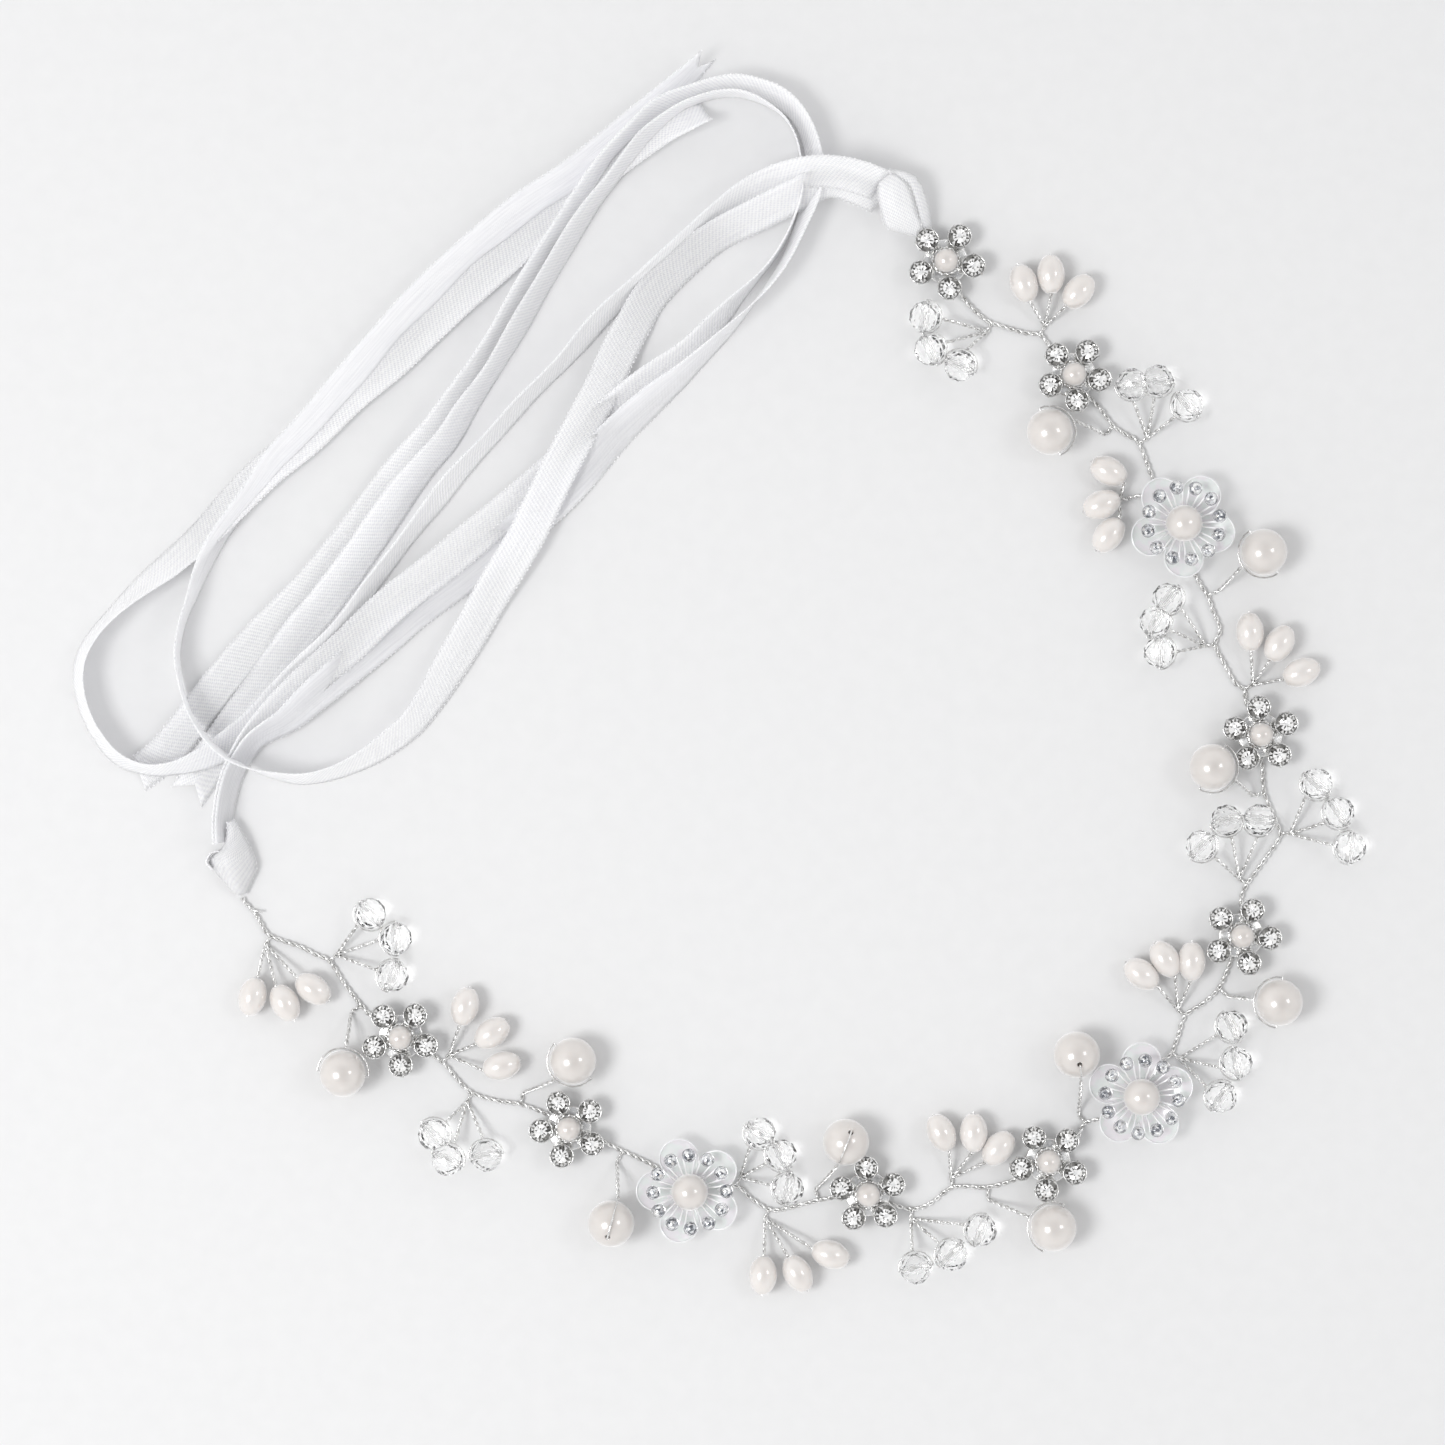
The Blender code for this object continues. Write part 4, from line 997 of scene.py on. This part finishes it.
petal_film = sequin_film()
rim_film = pearl_essence("bright_sequin_rim", "#F4F3F6", "#FFFFFF", 500.0)
print("made", petal_film.name)

# %% [markdown]
# ## The wire vine
# The vine is made from two thin silver-plated wires twisted together by hand, so it bends a little at every
# branch. Its route is a spline through the places where it changes direction. The strands are 0.4 mm thick
# and turn once in about 2 mm.

# %% Routes of the vine and its short branch
# The wire vine, from its left end to its upper end.
VINE_ROUTE = (
    (-97.2, -24.0), (-96.7, -24.9), (-95.3, -26.3), (-93.9, -28.5), (-92.3, -30.6), (-87.1, -32.5),
    (-84.5, -33.8), (-82.0, -35.0), (-79.4, -39.0), (-76.6, -42.6), (-73.7, -45.6), (-69.5, -48.2),
    (-66.4, -49.8), (-62.4, -52.6), (-59.9, -55.5), (-57.3, -57.9), (-53.3, -59.2), (-48.8, -59.9),
    (-44.3, -61.6), (-40.5, -63.7), (-34.2, -66.5), (-31.1, -68.0), (-25.3, -70.8), (-20.4, -74.3),
    (-15.6, -74.1), (-11.2, -74.1), (-8.8, -76.2), (-5.8, -78.1), (-3.0, -78.1), (2.9, -76.6),
    (11.2, -75.3), (14.9, -76.9), (19.1, -78.1), (22.4, -77.1), (26.4, -74.3), (32.3, -74.3),
    (37.8, -72.7), (42.7, -69.9), (47.8, -65.8), (49.3, -63.2), (53.7, -62.1), (58.4, -59.9),
    (60.6, -55.7), (62.7, -52.4), (64.3, -51.0), (65.5, -48.0), (66.7, -44.5), (69.9, -42.3),
    (72.5, -39.8), (73.9, -36.9), (76.3, -30.4), (76.5, -26.4), (76.5, -23.8), (77.5, -21.6),
    (80.0, -18.1), (82.6, -14.4), (83.3, -12.9), (82.4, -10.3), (80.5, -5.7), (80.1, -0.9),
    (79.4, 4.0), (77.3, 10.1), (77.0, 12.2), (75.4, 13.4), (73.5, 16.7), (71.9, 20.0),
    (72.8, 22.6), (71.6, 25.8), (70.6, 28.5), (68.5, 32.2), (66.0, 40.0), (62.9, 45.8),
    (61.0, 49.2), (58.7, 55.0), (56.5, 56.5), (54.2, 58.1), (51.9, 61.1), (47.1, 66.5),
    (43.1, 72.0), (41.5, 73.9), (38.7, 74.3), (33.0, 76.0), (30.7, 77.6), (27.9, 80.7),
    (25.0, 86.1), (23.2, 89.3), (21.5, 92.0),
)
# The short branch that carries the spray beside the upper sequin flower.
VINE_BRANCH = ((62.3, 46.9), (60.0, 46.1), (56.9, 45.5))

VINE_LIFT = 0.46
LOOP_STRAND = {"Strand": 0.15 * MM, "Step": 0.22 * MM, "Finish": wire_silver}


def twist(strand, offset, pitch, step):
    lengths = {"Strand": strand, "Offset": offset, "Pitch": pitch, "Step": step}
    return {label: length * MM for label, length in lengths.items()} | {"Finish": wire_silver}


VINE_STRAND = twist(0.19, 0.24, 2.8, 0.25)
STEM_STRAND = twist(0.155, 0.19, 2.3, 0.2)
TRUNK_STRAND = twist(0.165, 0.21, 2.3, 0.2)


def bent(points, steps=6):
    """Points in metres on a smooth line through the given ones."""
    return [Vector(p) for p in spline_points(np.array([tuple(p) for p in points]), steps)]


# %% Grow the vine
vine_routes = [bent([place(p, VINE_LIFT) for p in route]) for route in (VINE_ROUTE, VINE_BRANCH)]
vine_lines = lines("vine_lines", vine_routes)
vine = grow("vine_twist", twisted_wires, vine_lines, VINE_STRAND)
WIRE_END = ((-95.9, -25.8, 0.5), (-95.0, -26.2, 0.95), (-93.7, -26.4, 1.0))
spur = lines("cut_wire_end", [bent([place(p, p[2]) for p in WIRE_END])])
spur = grow("cut_wire_end", plain_wire, spur, {**LOOP_STRAND, "Strand": 0.19 * MM})
vine = joined("vine_twist", [vine, spur])
dress(vine, "vine_wire", FRAME_BODY)
print("vine:", len(vine.data.polygons), "faces")

# %% [markdown]
# **How a branch leaves the vine.** The two wires are bent out, twisted together for a short trunk, and then
# each bead gets its own twisted stem. The trunk leaves squarely, which also keeps it clear of the vine when
# the branch is bent.

# %% Trunks
TRUNK_START = 0.95
TRUNK_END = 2.1


def vine_direction(junction):
    if junction == VINE_BRANCH[-1]:
        last = Vector(VINE_BRANCH[-1]) - Vector(VINE_BRANCH[-2])
        return Vector((-last.y, last.x, 0)).normalized()
    i = VINE_ROUTE.index(junction)
    along = Vector(VINE_ROUTE[i + 1]) - Vector(VINE_ROUTE[i - 1])
    return Vector((along.x, along.y, 0)).normalized()


def trunk_points(junction, aim):
    middle = place(junction, VINE_LIFT)
    along = vine_direction(junction)
    out = Vector((-along.y, along.x, 0))
    if out.dot(aim - middle) < 0:
        out = -out
    return middle + out * 0.25 * MM, middle + out * TRUNK_START * MM, middle + out * TRUNK_END * MM


# %% [markdown]
# ## The bead sprays
# A spray is three beads on one trunk. Rice pearls are threaded lengthwise, so the wire goes in at one end and
# a tiny bit of it shows at the other. Crystals are drilled across: the wire passes through the bead and both
# sides hug it back to the twist, which makes the fine outline round every crystal.

# %% Bead tables
# Each spray: its junction on the vine, then three beads as (x, y, heading in degrees).
RICE_SPRAYS = (
    ((41.5, 73.9), ((38.5, 82.6, 107), (43.2, 84.2, 91), (48.0, 81.2, 50))),
    ((56.9, 45.5), ((53.2, 50.1, 152), (52.0, 44.3, -159), (53.2, 39.0, -129))),
    ((77.0, 12.2), ((77.7, 22.2, 93), (82.8, 20.2, 60), (86.6, 15.2, 22))),
    ((66.7, -44.5), ((58.9, -37.1, 143), (63.0, -34.5, 122), (67.6, -34.9, 89))),
    ((26.4, -74.3), ((24.2, -64.6, 115), (29.8, -64.6, 90), (34.1, -67.3, 48))),
    ((-5.8, -78.1), ((-6.7, -89.3, -93), (-0.7, -89.0, -61), (5.0, -85.7, -18))),
    ((-62.4, -52.6), ((-58.4, -42.7, 75), (-53.7, -47.3, 35), (-52.0, -53.0, 14))),
    ((-92.3, -30.6), ((-95.2, -41.0, -105), (-89.6, -42.1, -62), (-84.7, -39.7, -35))),
)
CRYSTAL_SPRAYS = (
    ((33.0, 76.0), ((21.3, 76.8, 173), (22.2, 71.1, -156), (27.4, 68.3, -114))),
    ((58.7, 55.0), ((57.2, 65.2, 96), (61.7, 65.8, 79), (66.9, 61.6, 44))),
    ((71.9, 20.0), ((63.4, 28.0, 142), (61.2, 24.0, 151), (61.9, 18.7, -178))),
    ((83.3, -12.9), ((89.3, -4.1, 49), (93.1, -9.1, 35), (95.1, -15.2, -8))),
    ((77.5, -21.6), ((69.2, -14.8, 139), (73.6, -10.4, 107), (79.3, -10.3, 84))),
    ((64.3, -51.0), ((74.6, -46.1, 30), (75.4, -52.5, 13), (72.7, -58.4, -35))),
    ((19.1, -78.1), ((19.8, -88.1, -78), (26.0, -85.8, -44), (31.1, -81.5, -19))),
    ((-11.2, -74.1), ((-7.2, -64.6, 55), (-3.5, -68.4, 29), (-2.3, -74.3, -12))),
    ((-57.3, -57.9), ((-63.8, -64.9, -134), (-61.4, -69.3, -113), (-54.7, -68.6, -81))),
    ((-82.0, -35.0), ((-74.7, -26.6, 42), (-70.2, -30.9, 5), (-70.8, -37.4, -20))),
)

RICE_LIFT = 2.75
RICE_FOOT = 3.2
WIRE_TIP = (3.0, 3.6)
RICE_OUTLINE = (
    (0.42, -3.32), (0.95, -3.2), (1.5, -2.7), (1.98, -1.95), (2.32, -1.05), (2.45, 0.0), (2.32, 1.05),
    (1.98, 1.95), (1.5, 2.7), (0.95, 3.2), (0.42, 3.32), (0.3, 3.0), (0.3, -3.0),
)
CRYSTAL_LIFT = 3.0
CRYSTAL_SIZE = 2.8
CRYSTAL_HOLE = 0.42


# %% Rice pearl sprays
def stem_routes(start, end, feet):
    root = start.lerp(end, 0.6)
    return [bent([root, root.lerp(foot, 0.5) + UP * 0.3 * MM, foot]) for foot in feet]


def twisted(name, routes, strand):
    return grow(name, twisted_wires, lines(name, routes), strand)


def stems_and_trunk(body, junction, middles, feet):
    origin, start, end = trunk_points(junction, sum(middles, Vector()) / 3)
    return [
        twisted(body + "_stems", stem_routes(start, end, feet), STEM_STRAND),
        twisted(body + "_trunk", [bent([origin, start, end])], TRUNK_STRAND),
    ]


def rice_spray(number, junction, beads):
    body = f"rice_pearl_spray_{number}"
    middles = [place(bead, RICE_LIFT) for bead in beads]
    aims = [heading(bead[2]) for bead in beads]
    feet = [middle - aim * RICE_FOOT * MM for middle, aim in zip(middles, aims)]
    wires = stems_and_trunk(body, junction, middles, feet)
    tips = [[middle + aim * reach * MM for reach in WIRE_TIP] for middle, aim in zip(middles, aims)]
    wires.append(grow(body + "_tips", plain_wire, lines(body + "_tips", tips), LOOP_STRAND))
    pearls = [
        turned(f"{body}_bead_{i}", RICE_OUTLINE, 32, frame_at(middle, aim), rice_pearl_coat, closed=True)
        for i, (middle, aim) in enumerate(zip(middles, aims), 1)
    ]
    dress(joined(body + "_dressed", pearls + wires), body, body)


for number, (junction, beads) in enumerate(RICE_SPRAYS, 1):
    rice_spray(number, junction, beads)
print(len(RICE_SPRAYS), "rice pearl sprays")

# %% [markdown]
# ** A cut crystal.** The bead is a faceted rondelle: rings of flat facets, each ring turned half a facet from
# the last so that they meet in triangles. Flat shading keeps each facet flat. The drill hole runs straight
# through; in a real bead its frosted wall shows as a pale line, but here the wall is the same clear glass.

# %% One crystal
FACETS = 9
FACET_RINGS = ((0.8, -2.62), (2.1, -1.75), (2.8, -0.55), (2.8, 0.55), (2.1, 1.75), (0.8, 2.62))


def crystal_bead(name, middle, along, drill):
    """Rings of facets about one axis, with the hole cut through along the other."""
    points, faces = [], []
    for i, (radius, height) in enumerate(FACET_RINGS):
        for j in range(FACETS):
            angle = 2 * math.pi * (j + i % 2 / 2) / FACETS
            points.append(Vector((radius * math.cos(angle), radius * math.sin(angle), height)))
    for i in range(len(FACET_RINGS) - 1):
        for j in range(FACETS):
            k = (j + 1) % FACETS
            a, b = i * FACETS + j, i * FACETS + k
            c, d = a + FACETS, b + FACETS
            faces += [(a, b, d), (a, d, c)] if i % 2 else [(a, b, c), (b, d, c)]
    top = (len(FACET_RINGS) - 1) * FACETS
    faces += [tuple(range(FACETS)), tuple(range(top, top + FACETS))]
    where = frame_at(middle, along)
    bead = mesh_object(name, [where @ (p * MM) for p in points], faces, bead_glass, smooth=False)
    hole_outline = ((0, -4.0), (CRYSTAL_HOLE, -4.0), (CRYSTAL_HOLE, 4.0), (0, 4.0))
    hole = turned(name + "_hole", hole_outline, 12, frame_at(middle, drill), bead_glass)
    cut = bead.modifiers.new("drill", "BOOLEAN")
    cut.operation = "DIFFERENCE"
    cut.solver = "EXACT"
    cut.object = hole
    graph = bpy.context.evaluated_depsgraph_get()
    drilled = bpy.data.meshes.new_from_object(bead.evaluated_get(graph))
    bead.modifiers.clear()
    bead.data = drilled
    bpy.data.objects.remove(hole, do_unlink=True)
    return bead


def loop_points(middle, back, second, turn, radius):
    """Half round the bead, from one mouth of its hole past the stem to the other."""
    arms = [turn - math.pi * i / 12 for i in range(13)]
    return [middle + (back * math.cos(a) + second * math.sin(a)) * radius for a in arms]


def hugging_wire(name, middle, back, second, turn, radius):
    """The wire from the twist round the bead and through it."""
    around = loop_points(middle, back, second, turn, radius)
    return grow(name, plain_wire, lines(name, [around], closed=True), LOOP_STRAND)


# %% Crystal sprays
def crystal_spray(number, junction, beads):
    body = f"crystal_spray_{number}"
    middles = [place(bead, CRYSTAL_LIFT) for bead in beads]
    aims = [heading(bead[2]) for bead in beads]
    feet = [middle - aim * (CRYSTAL_SIZE + 0.35) * MM for middle, aim in zip(middles, aims)]
    wires = stems_and_trunk(body, junction, middles, feet)
    crystals = []
    for i, (middle, aim) in enumerate(zip(middles, aims), 1):
        across = UP.cross(aim)
        crystals.append(crystal_bead(f"{body}_bead_{i}", middle, aim, across))
        loop = hugging_wire(f"{body}_loop_{i}", middle, -aim, across, math.pi / 2, (CRYSTAL_SIZE + 0.22) * MM)
        wires.append(loop)
    dress(joined(body + "_dressed", crystals + wires), body, body)


for number, (junction, beads) in enumerate(CRYSTAL_SPRAYS, 1):
    crystal_spray(number, junction, beads)
print(len(CRYSTAL_SPRAYS), "crystal sprays")

# %% [markdown]
# ## The round pearls
# Each 8 mm pearl is held by one wire that runs through its bore and round it on one side. So the pearl can
# spin on that wire, while its stem bends at the vine: two bodies, the stem and the pearl.

# %% Pearl table
# Each round pearl: its junction, its middle, the heading from it back to its stem,
# and the tilt of its bore above that heading, or None where the bore lies level and across.
PEARL_BRANCHES = (
    ((54.2, 58.1), (42.9, 56.8), 24, None),
    ((70.6, 28.5), (79.9, 36.0), -146, None),
    ((80.5, -5.7), (71.0, -1.2), -31, None),
    ((72.5, -39.8), (82.6, -41.9), 173, None),
    ((49.3, -63.2), (47.5, -50.9), -81, 68),
    ((32.3, -74.3), (43.5, -80.9), 156, None),
    ((2.9, -76.6), (7.6, -66.0), -111, 123),
    ((-31.1, -68.0), (-33.0, -80.1), 75, 121),
    ((-48.8, -59.9), (-39.6, -52.0), -133, None),
    ((-76.6, -42.6), (-79.4, -54.2), 83, None),
)

PEARL_RADIUS = 4.0
PEARL_BORE = 0.45
PEARL_LIFT = 4.6
TIPPED_PEARL_LIFT = 5.0
PEARL_LOOP_RADIUS = 4.5


# %% Pearls and their stems
def pearl_outline(radius, bore):
    """From one mouth of the bore to the other, with a rounded lip; the closing side is the bore's wall."""
    first = math.asin(bore / radius)
    turns = np.linspace(first + 0.05, math.pi - first - 0.05, 36)
    lip = radius * math.cos(first)
    low = [(bore, -lip + 0.5), (bore, -lip + 0.06)]
    high = [(bore, lip - 0.06), (bore, lip - 0.5)]
    return low + [(radius * math.sin(a), -radius * math.cos(a)) for a in turns] + high


def pearl_and_stem(number, junction, middle, back, tilt):
    centre = place(middle, PEARL_LIFT if tilt is None else TIPPED_PEARL_LIFT)
    toward_stem = heading(back)
    second = UP if tilt is not None else UP.cross(toward_stem)
    turn = math.radians(90 if tilt is None else tilt)
    bore = toward_stem * math.cos(turn) + second * math.sin(turn)
    outline = pearl_outline(PEARL_RADIUS, PEARL_BORE)
    where = frame_at(centre, bore)
    pearl = turned(f"round_pearl_{number}_bead", outline, 56, where, round_pearl_coat, closed=True)
    dress(pearl, f"round_pearl_{number}", f"round_pearl_{number}")
    node = centre + toward_stem * (PEARL_LOOP_RADIUS + 0.15) * MM
    origin, start, end = trunk_points(junction, node)
    route = bent([origin, start, end, end.lerp(node, 0.5) + UP * 0.4 * MM, node])
    body = f"pearl_stem_{number}"
    stem = twisted(body + "_twist", [route], TRUNK_STRAND)
    loop = hugging_wire(body + "_loop", centre, toward_stem, second, turn, PEARL_LOOP_RADIUS * MM)
    dress(joined(body + "_dressed", [stem, loop]), body, body)


for number, branch in enumerate(PEARL_BRANCHES, 1):
    pearl_and_stem(number, *branch)
print(len(PEARL_BRANCHES), "round pearls on their stems")

# %% [markdown]
# ## The rhinestone flowers
# Five foil-backed stones sit in round silver settings on a flat silver back, with a small pearl in the
# middle inside a ring of silver grains. The flower is soldered or cast as one piece, so it is one body. The
# settings and the grains repeat, so the ring tree sets them.

# %% Flower table
# Each rhinestone flower: its middle, the turn of its five stones, the radius of their ring.
RHINESTONE_FLOWERS = (
    ((25.0, 86.5), 61.2, 4.8),
    ((47.2, 66.8), 60.2, 4.5),
    ((79.6, 4.4), 23.4, 4.7),
    ((76.3, -30.5), 68.4, 4.8),
    ((42.8, -69.6), 49.4, 4.9),
    ((11.5, -75.3), 22.0, 4.7),
    ((-40.4, -63.9), 39.9, 4.8),
    ((-69.6, -48.1), 55.8, 4.7),
)

SMALL_PEARL_RADIUS = 2.0
CUP_OUTLINE = (
    (0.0, 1.75), (1.25, 1.75), (1.9, 2.55), (2.12, 3.3), (2.12, 3.75), (1.98, 3.85), (1.93, 3.6), (1.86, 3.1),
    (1.2, 2.1), (0.0, 2.0),
)
PLATE_OUTLINE = ((0.0, 1.3), (3.7, 1.3), (3.9, 1.4), (3.9, 1.7), (3.7, 1.8), (0.0, 1.8))
CLAWS = 8
STONE_SIDES = 14
STONE_RINGS = ((1.9, 3.45, 0.1, 0.0), (1.2, 3.95, -0.08, 0.5), (0.62, 4.1, 0.06, 0.0), (0.22, 4.12, 0, 0.5))


# %% A stone in its setting
def cut_stone(name, rings, material):
    """Rings of triangles that end in a small flat table. Every second corner lies a little higher."""
    points, faces = [], []
    for radius, height, zigzag, shift in rings:
        for j in range(STONE_SIDES):
            angle = 2 * math.pi * (j + shift) / STONE_SIDES
            lift = height + zigzag * (1 if j % 2 else -1)
            points.append(Vector((radius * math.cos(angle), radius * math.sin(angle), lift)) * MM)
    for i in range(len(rings) - 1):
        for j in range(STONE_SIDES):
            k = (j + 1) % STONE_SIDES
            a, b = i * STONE_SIDES + j, i * STONE_SIDES + k
            c, d = a + STONE_SIDES, b + STONE_SIDES
            faces += [(a, b, d), (a, d, c)] if i % 2 else [(a, b, c), (b, d, c)]
    last = (len(rings) - 1) * STONE_SIDES
    faces += [tuple(range(STONE_SIDES)), tuple(range(last, last + STONE_SIDES))]
    stone = mesh_object(name, points, faces, material, smooth=False)
    # Each facet gets a painted glint: every second triangle of the outer ring and a few at random are painted
    # dark, the rest bright, in place of the light the facets throw back.
    painted_facet_glint = stone.data.attributes.new("painted_facet_glint", "FLOAT", "FACE")
    for i, value in enumerate(painted_facet_glint.data):
        dark = i < 2 * STONE_SIDES and i % 2 == 1 or chance.random() < 0.12
        value.value = chance.uniform(0.0, 0.35) if dark else chance.uniform(0.5, 1.0)
    return stone


def stone_in_setting():
    """One silvered stone in a cup with eight small claws."""
    cup = turned("setting_cup", CUP_OUTLINE, 20, Matrix.Identity(4), wire_silver)
    stone = cut_stone("cut_stone", STONE_RINGS, stone_foil)
    claws = []
    for j in range(CLAWS):
        out = heading(j * 360 / CLAWS + 10)
        foot, top = out * 2.08, out * 1.82
        claw = lines(f"claw_{j}", [[(foot + UP * 3.1) * MM, (foot + UP * 3.8) * MM, (top + UP * 4.02) * MM]])
        claws.append(grow(f"claw_{j}", plain_wire, claw, {**LOOP_STRAND, "Strand": 0.16 * MM}))
    return joined("stone_in_setting", [cup, stone, *claws])


# %% [markdown]
# The ring tree needs, for each ring, a point with its turn and its radius. A part with several finishes keeps
# them, so it isn't repainted.

# %% Rings of parts
def ring_of(name, tree, part, centre, turn, radius, count, finish=None):
    base = mesh_object(name, [centre], [], smooth=False)
    for label, value in (("turn", math.radians(turn)), ("ring", radius * MM)):
        base.data.attributes.new(label, "FLOAT", "POINT").data[0].value = value
    sizes = {"Part": part, "Count": count, "Repaint": finish is not None}
    return grow(name, tree, base, {**sizes, "Finish": finish} if finish else sizes)


# %% Rhinestone flowers
stone_part = stone_in_setting()
GRAIN_OUTLINE = ((0, -0.3), (0.21, -0.21), (0.3, 0), (0.21, 0.21), (0, 0.3))
SEAT_OUTLINE = ((0, 1.7), (2.3, 1.7), (2.55, 2.9), (2.0, 2.9), (0, 2.3))
GRAIN_RING = 2.35
grain_part = turned("silver_grain", GRAIN_OUTLINE, 8, Matrix.Identity(4), wire_silver)
small_pearl = ball(SMALL_PEARL_RADIUS, SMALL_PEARL_RADIUS, 24)


def rhinestone_flower(number, middle, turn, ring):
    node = f"rhinestone_flower_{number}"
    centre = place(middle, 0)
    stones = ring_of(node + "_stones", ring_of_parts, stone_part, centre, turn, ring, 5)
    above = centre + UP * 3.1 * MM
    grains = ring_of(node + "_grains", ring_of_parts, grain_part, above, turn, GRAIN_RING, 15, wire_silver)
    plate = turned(node + "_plate", PLATE_OUTLINE, 40, frame_at(centre), wire_silver)
    seat = turned(node + "_seat", SEAT_OUTLINE, 32, frame_at(centre), wire_silver)
    pearl = turned(node + "_pearl", small_pearl, 36, frame_at(centre + UP * 4.0 * MM), round_pearl_coat)
    dress(joined(node + "_dressed", [stones, grains, plate, seat, pearl]), node, FRAME_BODY)


for number, (middle, turn, ring) in enumerate(RHINESTONE_FLOWERS, 1):
    rhinestone_flower(number, middle, turn, ring)
print(len(RHINESTONE_FLOWERS), "rhinestone flowers")

# %% [markdown]
# ## The sequin flowers
# Five round petals are cut from one piece of pearly film and cupped, so each has a thin bright rim. Twelve
# clear stamens with silver-lined tips stand over them round a pearl. The petals and the stamens are two
# solids of the model, so they are two pieces here.

# %% Sequin flower table
# Each sequin flower: its middle, the turn of its petals, the turn of its stamens.
SEQUIN_FLOWERS = (
    ((65.9, 40.9), 56.9, 11.8),
    ((58.6, -58.1), 15.6, 24.4),
    ((-19.4, -74.5), 36.7, 1.2),
)

LOBES = 5
LOBE_CENTRE = 5.8
LOBE_RADIUS = 3.4
PETAL_BASE = 2.25
PETAL_RISE = 0.023
LOBE_HOLLOW = 0.55
FILM_THICKNESS = 0.12
PETAL_STEPS = 120
PETAL_SHARES = (0.16, 0.35, 0.55, 0.72, 0.85, 0.94, 0.985, 1.0)


# %% Petals
def petal_reach(turn):
    """How far the petals reach at an angle from the middle of the nearest one."""
    across = LOBE_CENTRE * math.sin(turn)
    return LOBE_CENTRE * math.cos(turn) + math.sqrt(max(LOBE_RADIUS**2 - across**2, 0))


def petals(name, centre, turn):
    """The cupped film. Each lobe is hollowed a little more in its own middle."""
    points, faces = [], []
    for drop in (0, FILM_THICKNESS):
        for share in PETAL_SHARES:
            for i in range(PETAL_STEPS):
                angle = (i * 360 / PETAL_STEPS) % (360 / LOBES)
                from_lobe = min(angle, 360 / LOBES - angle)
                lean = math.radians(from_lobe)
                reach = petal_reach(lean) * share
                from_middle = math.hypot(reach * math.cos(lean) - LOBE_CENTRE, reach * math.sin(lean))
                cup = -LOBE_HOLLOW * max(1 - (from_middle / LOBE_RADIUS) ** 2, 0)
                rise = PETAL_BASE + PETAL_RISE * reach**2 + cup - drop
                points.append(centre + (heading(turn + i * 360 / PETAL_STEPS) * reach + UP * rise) * MM)
    ring = len(PETAL_SHARES)
    for side in (0, ring * PETAL_STEPS):
        for s in range(ring - 1):
            for i in range(PETAL_STEPS):
                k = (i + 1) % PETAL_STEPS
                a, b = side + s * PETAL_STEPS, side + (s + 1) * PETAL_STEPS
                faces.append((a + i, a + k, b + k, b + i))
    for s in (0, ring - 1):
        for i in range(PETAL_STEPS):
            k = (i + 1) % PETAL_STEPS
            a = s * PETAL_STEPS
            faces.append((a + i, a + k, ring * PETAL_STEPS + a + k, ring * PETAL_STEPS + a + i))
    film = mesh_object(name, points, faces, petal_film)
    edge = lines(name + "_rim", [points[(ring - 1) * PETAL_STEPS : ring * PETAL_STEPS]], closed=True)
    rim = grow(name + "_rim", plain_wire, edge, {"Strand": 0.13 * MM, "Step": 0.3 * MM, "Finish": rim_film})
    return joined(name, [film, rim])


# %% [markdown]
# **Stamens.** Each is a loop of thin clear filament that carries a round bead lined with silver. Seen from
# above, the bead is dark with bright flecks, and the two sides of the filament run back to the pearl.

# %% Stamens and hearts
TIP_REACH = 6.3
TIP_HEIGHT = 6.1
TIP_RADIUS = 1.22
HEART_PEARL_RADIUS = 3.15
HEART_PEARL_LIFT = 6.35
FILAMENT = ((1.6, 0.25, 4.0), (3.4, 0.55, 5.0), (4.9, 0.8, 5.9), (6.2, 1.12, 6.15))
FILAMENT_STRAND = {"Strand": 0.15 * MM, "Step": 0.4 * MM, "Finish": rim_film}
HEART_SEAT = ((0, 2.6), (1.5, 2.6), (1.6, 3.6), (2.3, 4.3), (0, 4.3))


def one_stamen():
    """A stamen along +X: two filaments, a glittering core and a clear shell."""
    filaments = []
    for side in (-1, 1):
        route = [Vector((out, side * aside, up)) * MM for out, aside, up in FILAMENT]
        line = lines(f"filament_{side}", [bent(route)])
        filaments.append(grow(f"filament_{side}", plain_wire, line, FILAMENT_STRAND))
    tip = Matrix.Translation(Vector((TIP_REACH, 0, TIP_HEIGHT)) * MM)
    core = turned("tip_core", ball(0.8, 0.72, 8), 12, tip, silver_lining, smooth=False)
    shell = turned("tip_shell", ball(TIP_RADIUS, TIP_RADIUS * 0.9, 14), 22, tip, shell_glass)
    return joined("one_stamen", [core, shell, *filaments])


stamen_part = one_stamen()
heart_pearl = ball(HEART_PEARL_RADIUS, HEART_PEARL_RADIUS, 32)


def sequin_flower(number, middle, petal_turn, stamen_turn):
    centre = place(middle, 0)
    node = f"sequin_petals_{number}"
    dress(petals(node + "_film", centre, petal_turn), node, FRAME_BODY)
    node = f"stamen_heart_{number}"
    stamens = ring_of(node + "_stamens", ring_of_parts, stamen_part, centre, stamen_turn, 0.001, 12)
    above = frame_at(centre + UP * HEART_PEARL_LIFT * MM)
    pearl = turned(node + "_pearl", heart_pearl, 48, above, round_pearl_coat)
    seat = turned(node + "_seat", HEART_SEAT, 24, frame_at(centre), wire_silver)
    dress(joined(node + "_dressed", [stamens, pearl, seat]), node, FRAME_BODY)


for number, (middle, petal_turn, stamen_turn) in enumerate(SEQUIN_FLOWERS, 1):
    sequin_flower(number, middle, petal_turn, stamen_turn)
for part in (stone_part, grain_part, stamen_part):
    bpy.data.objects.remove(part, do_unlink=True)
print(len(SEQUIN_FLOWERS), "sequin flowers")
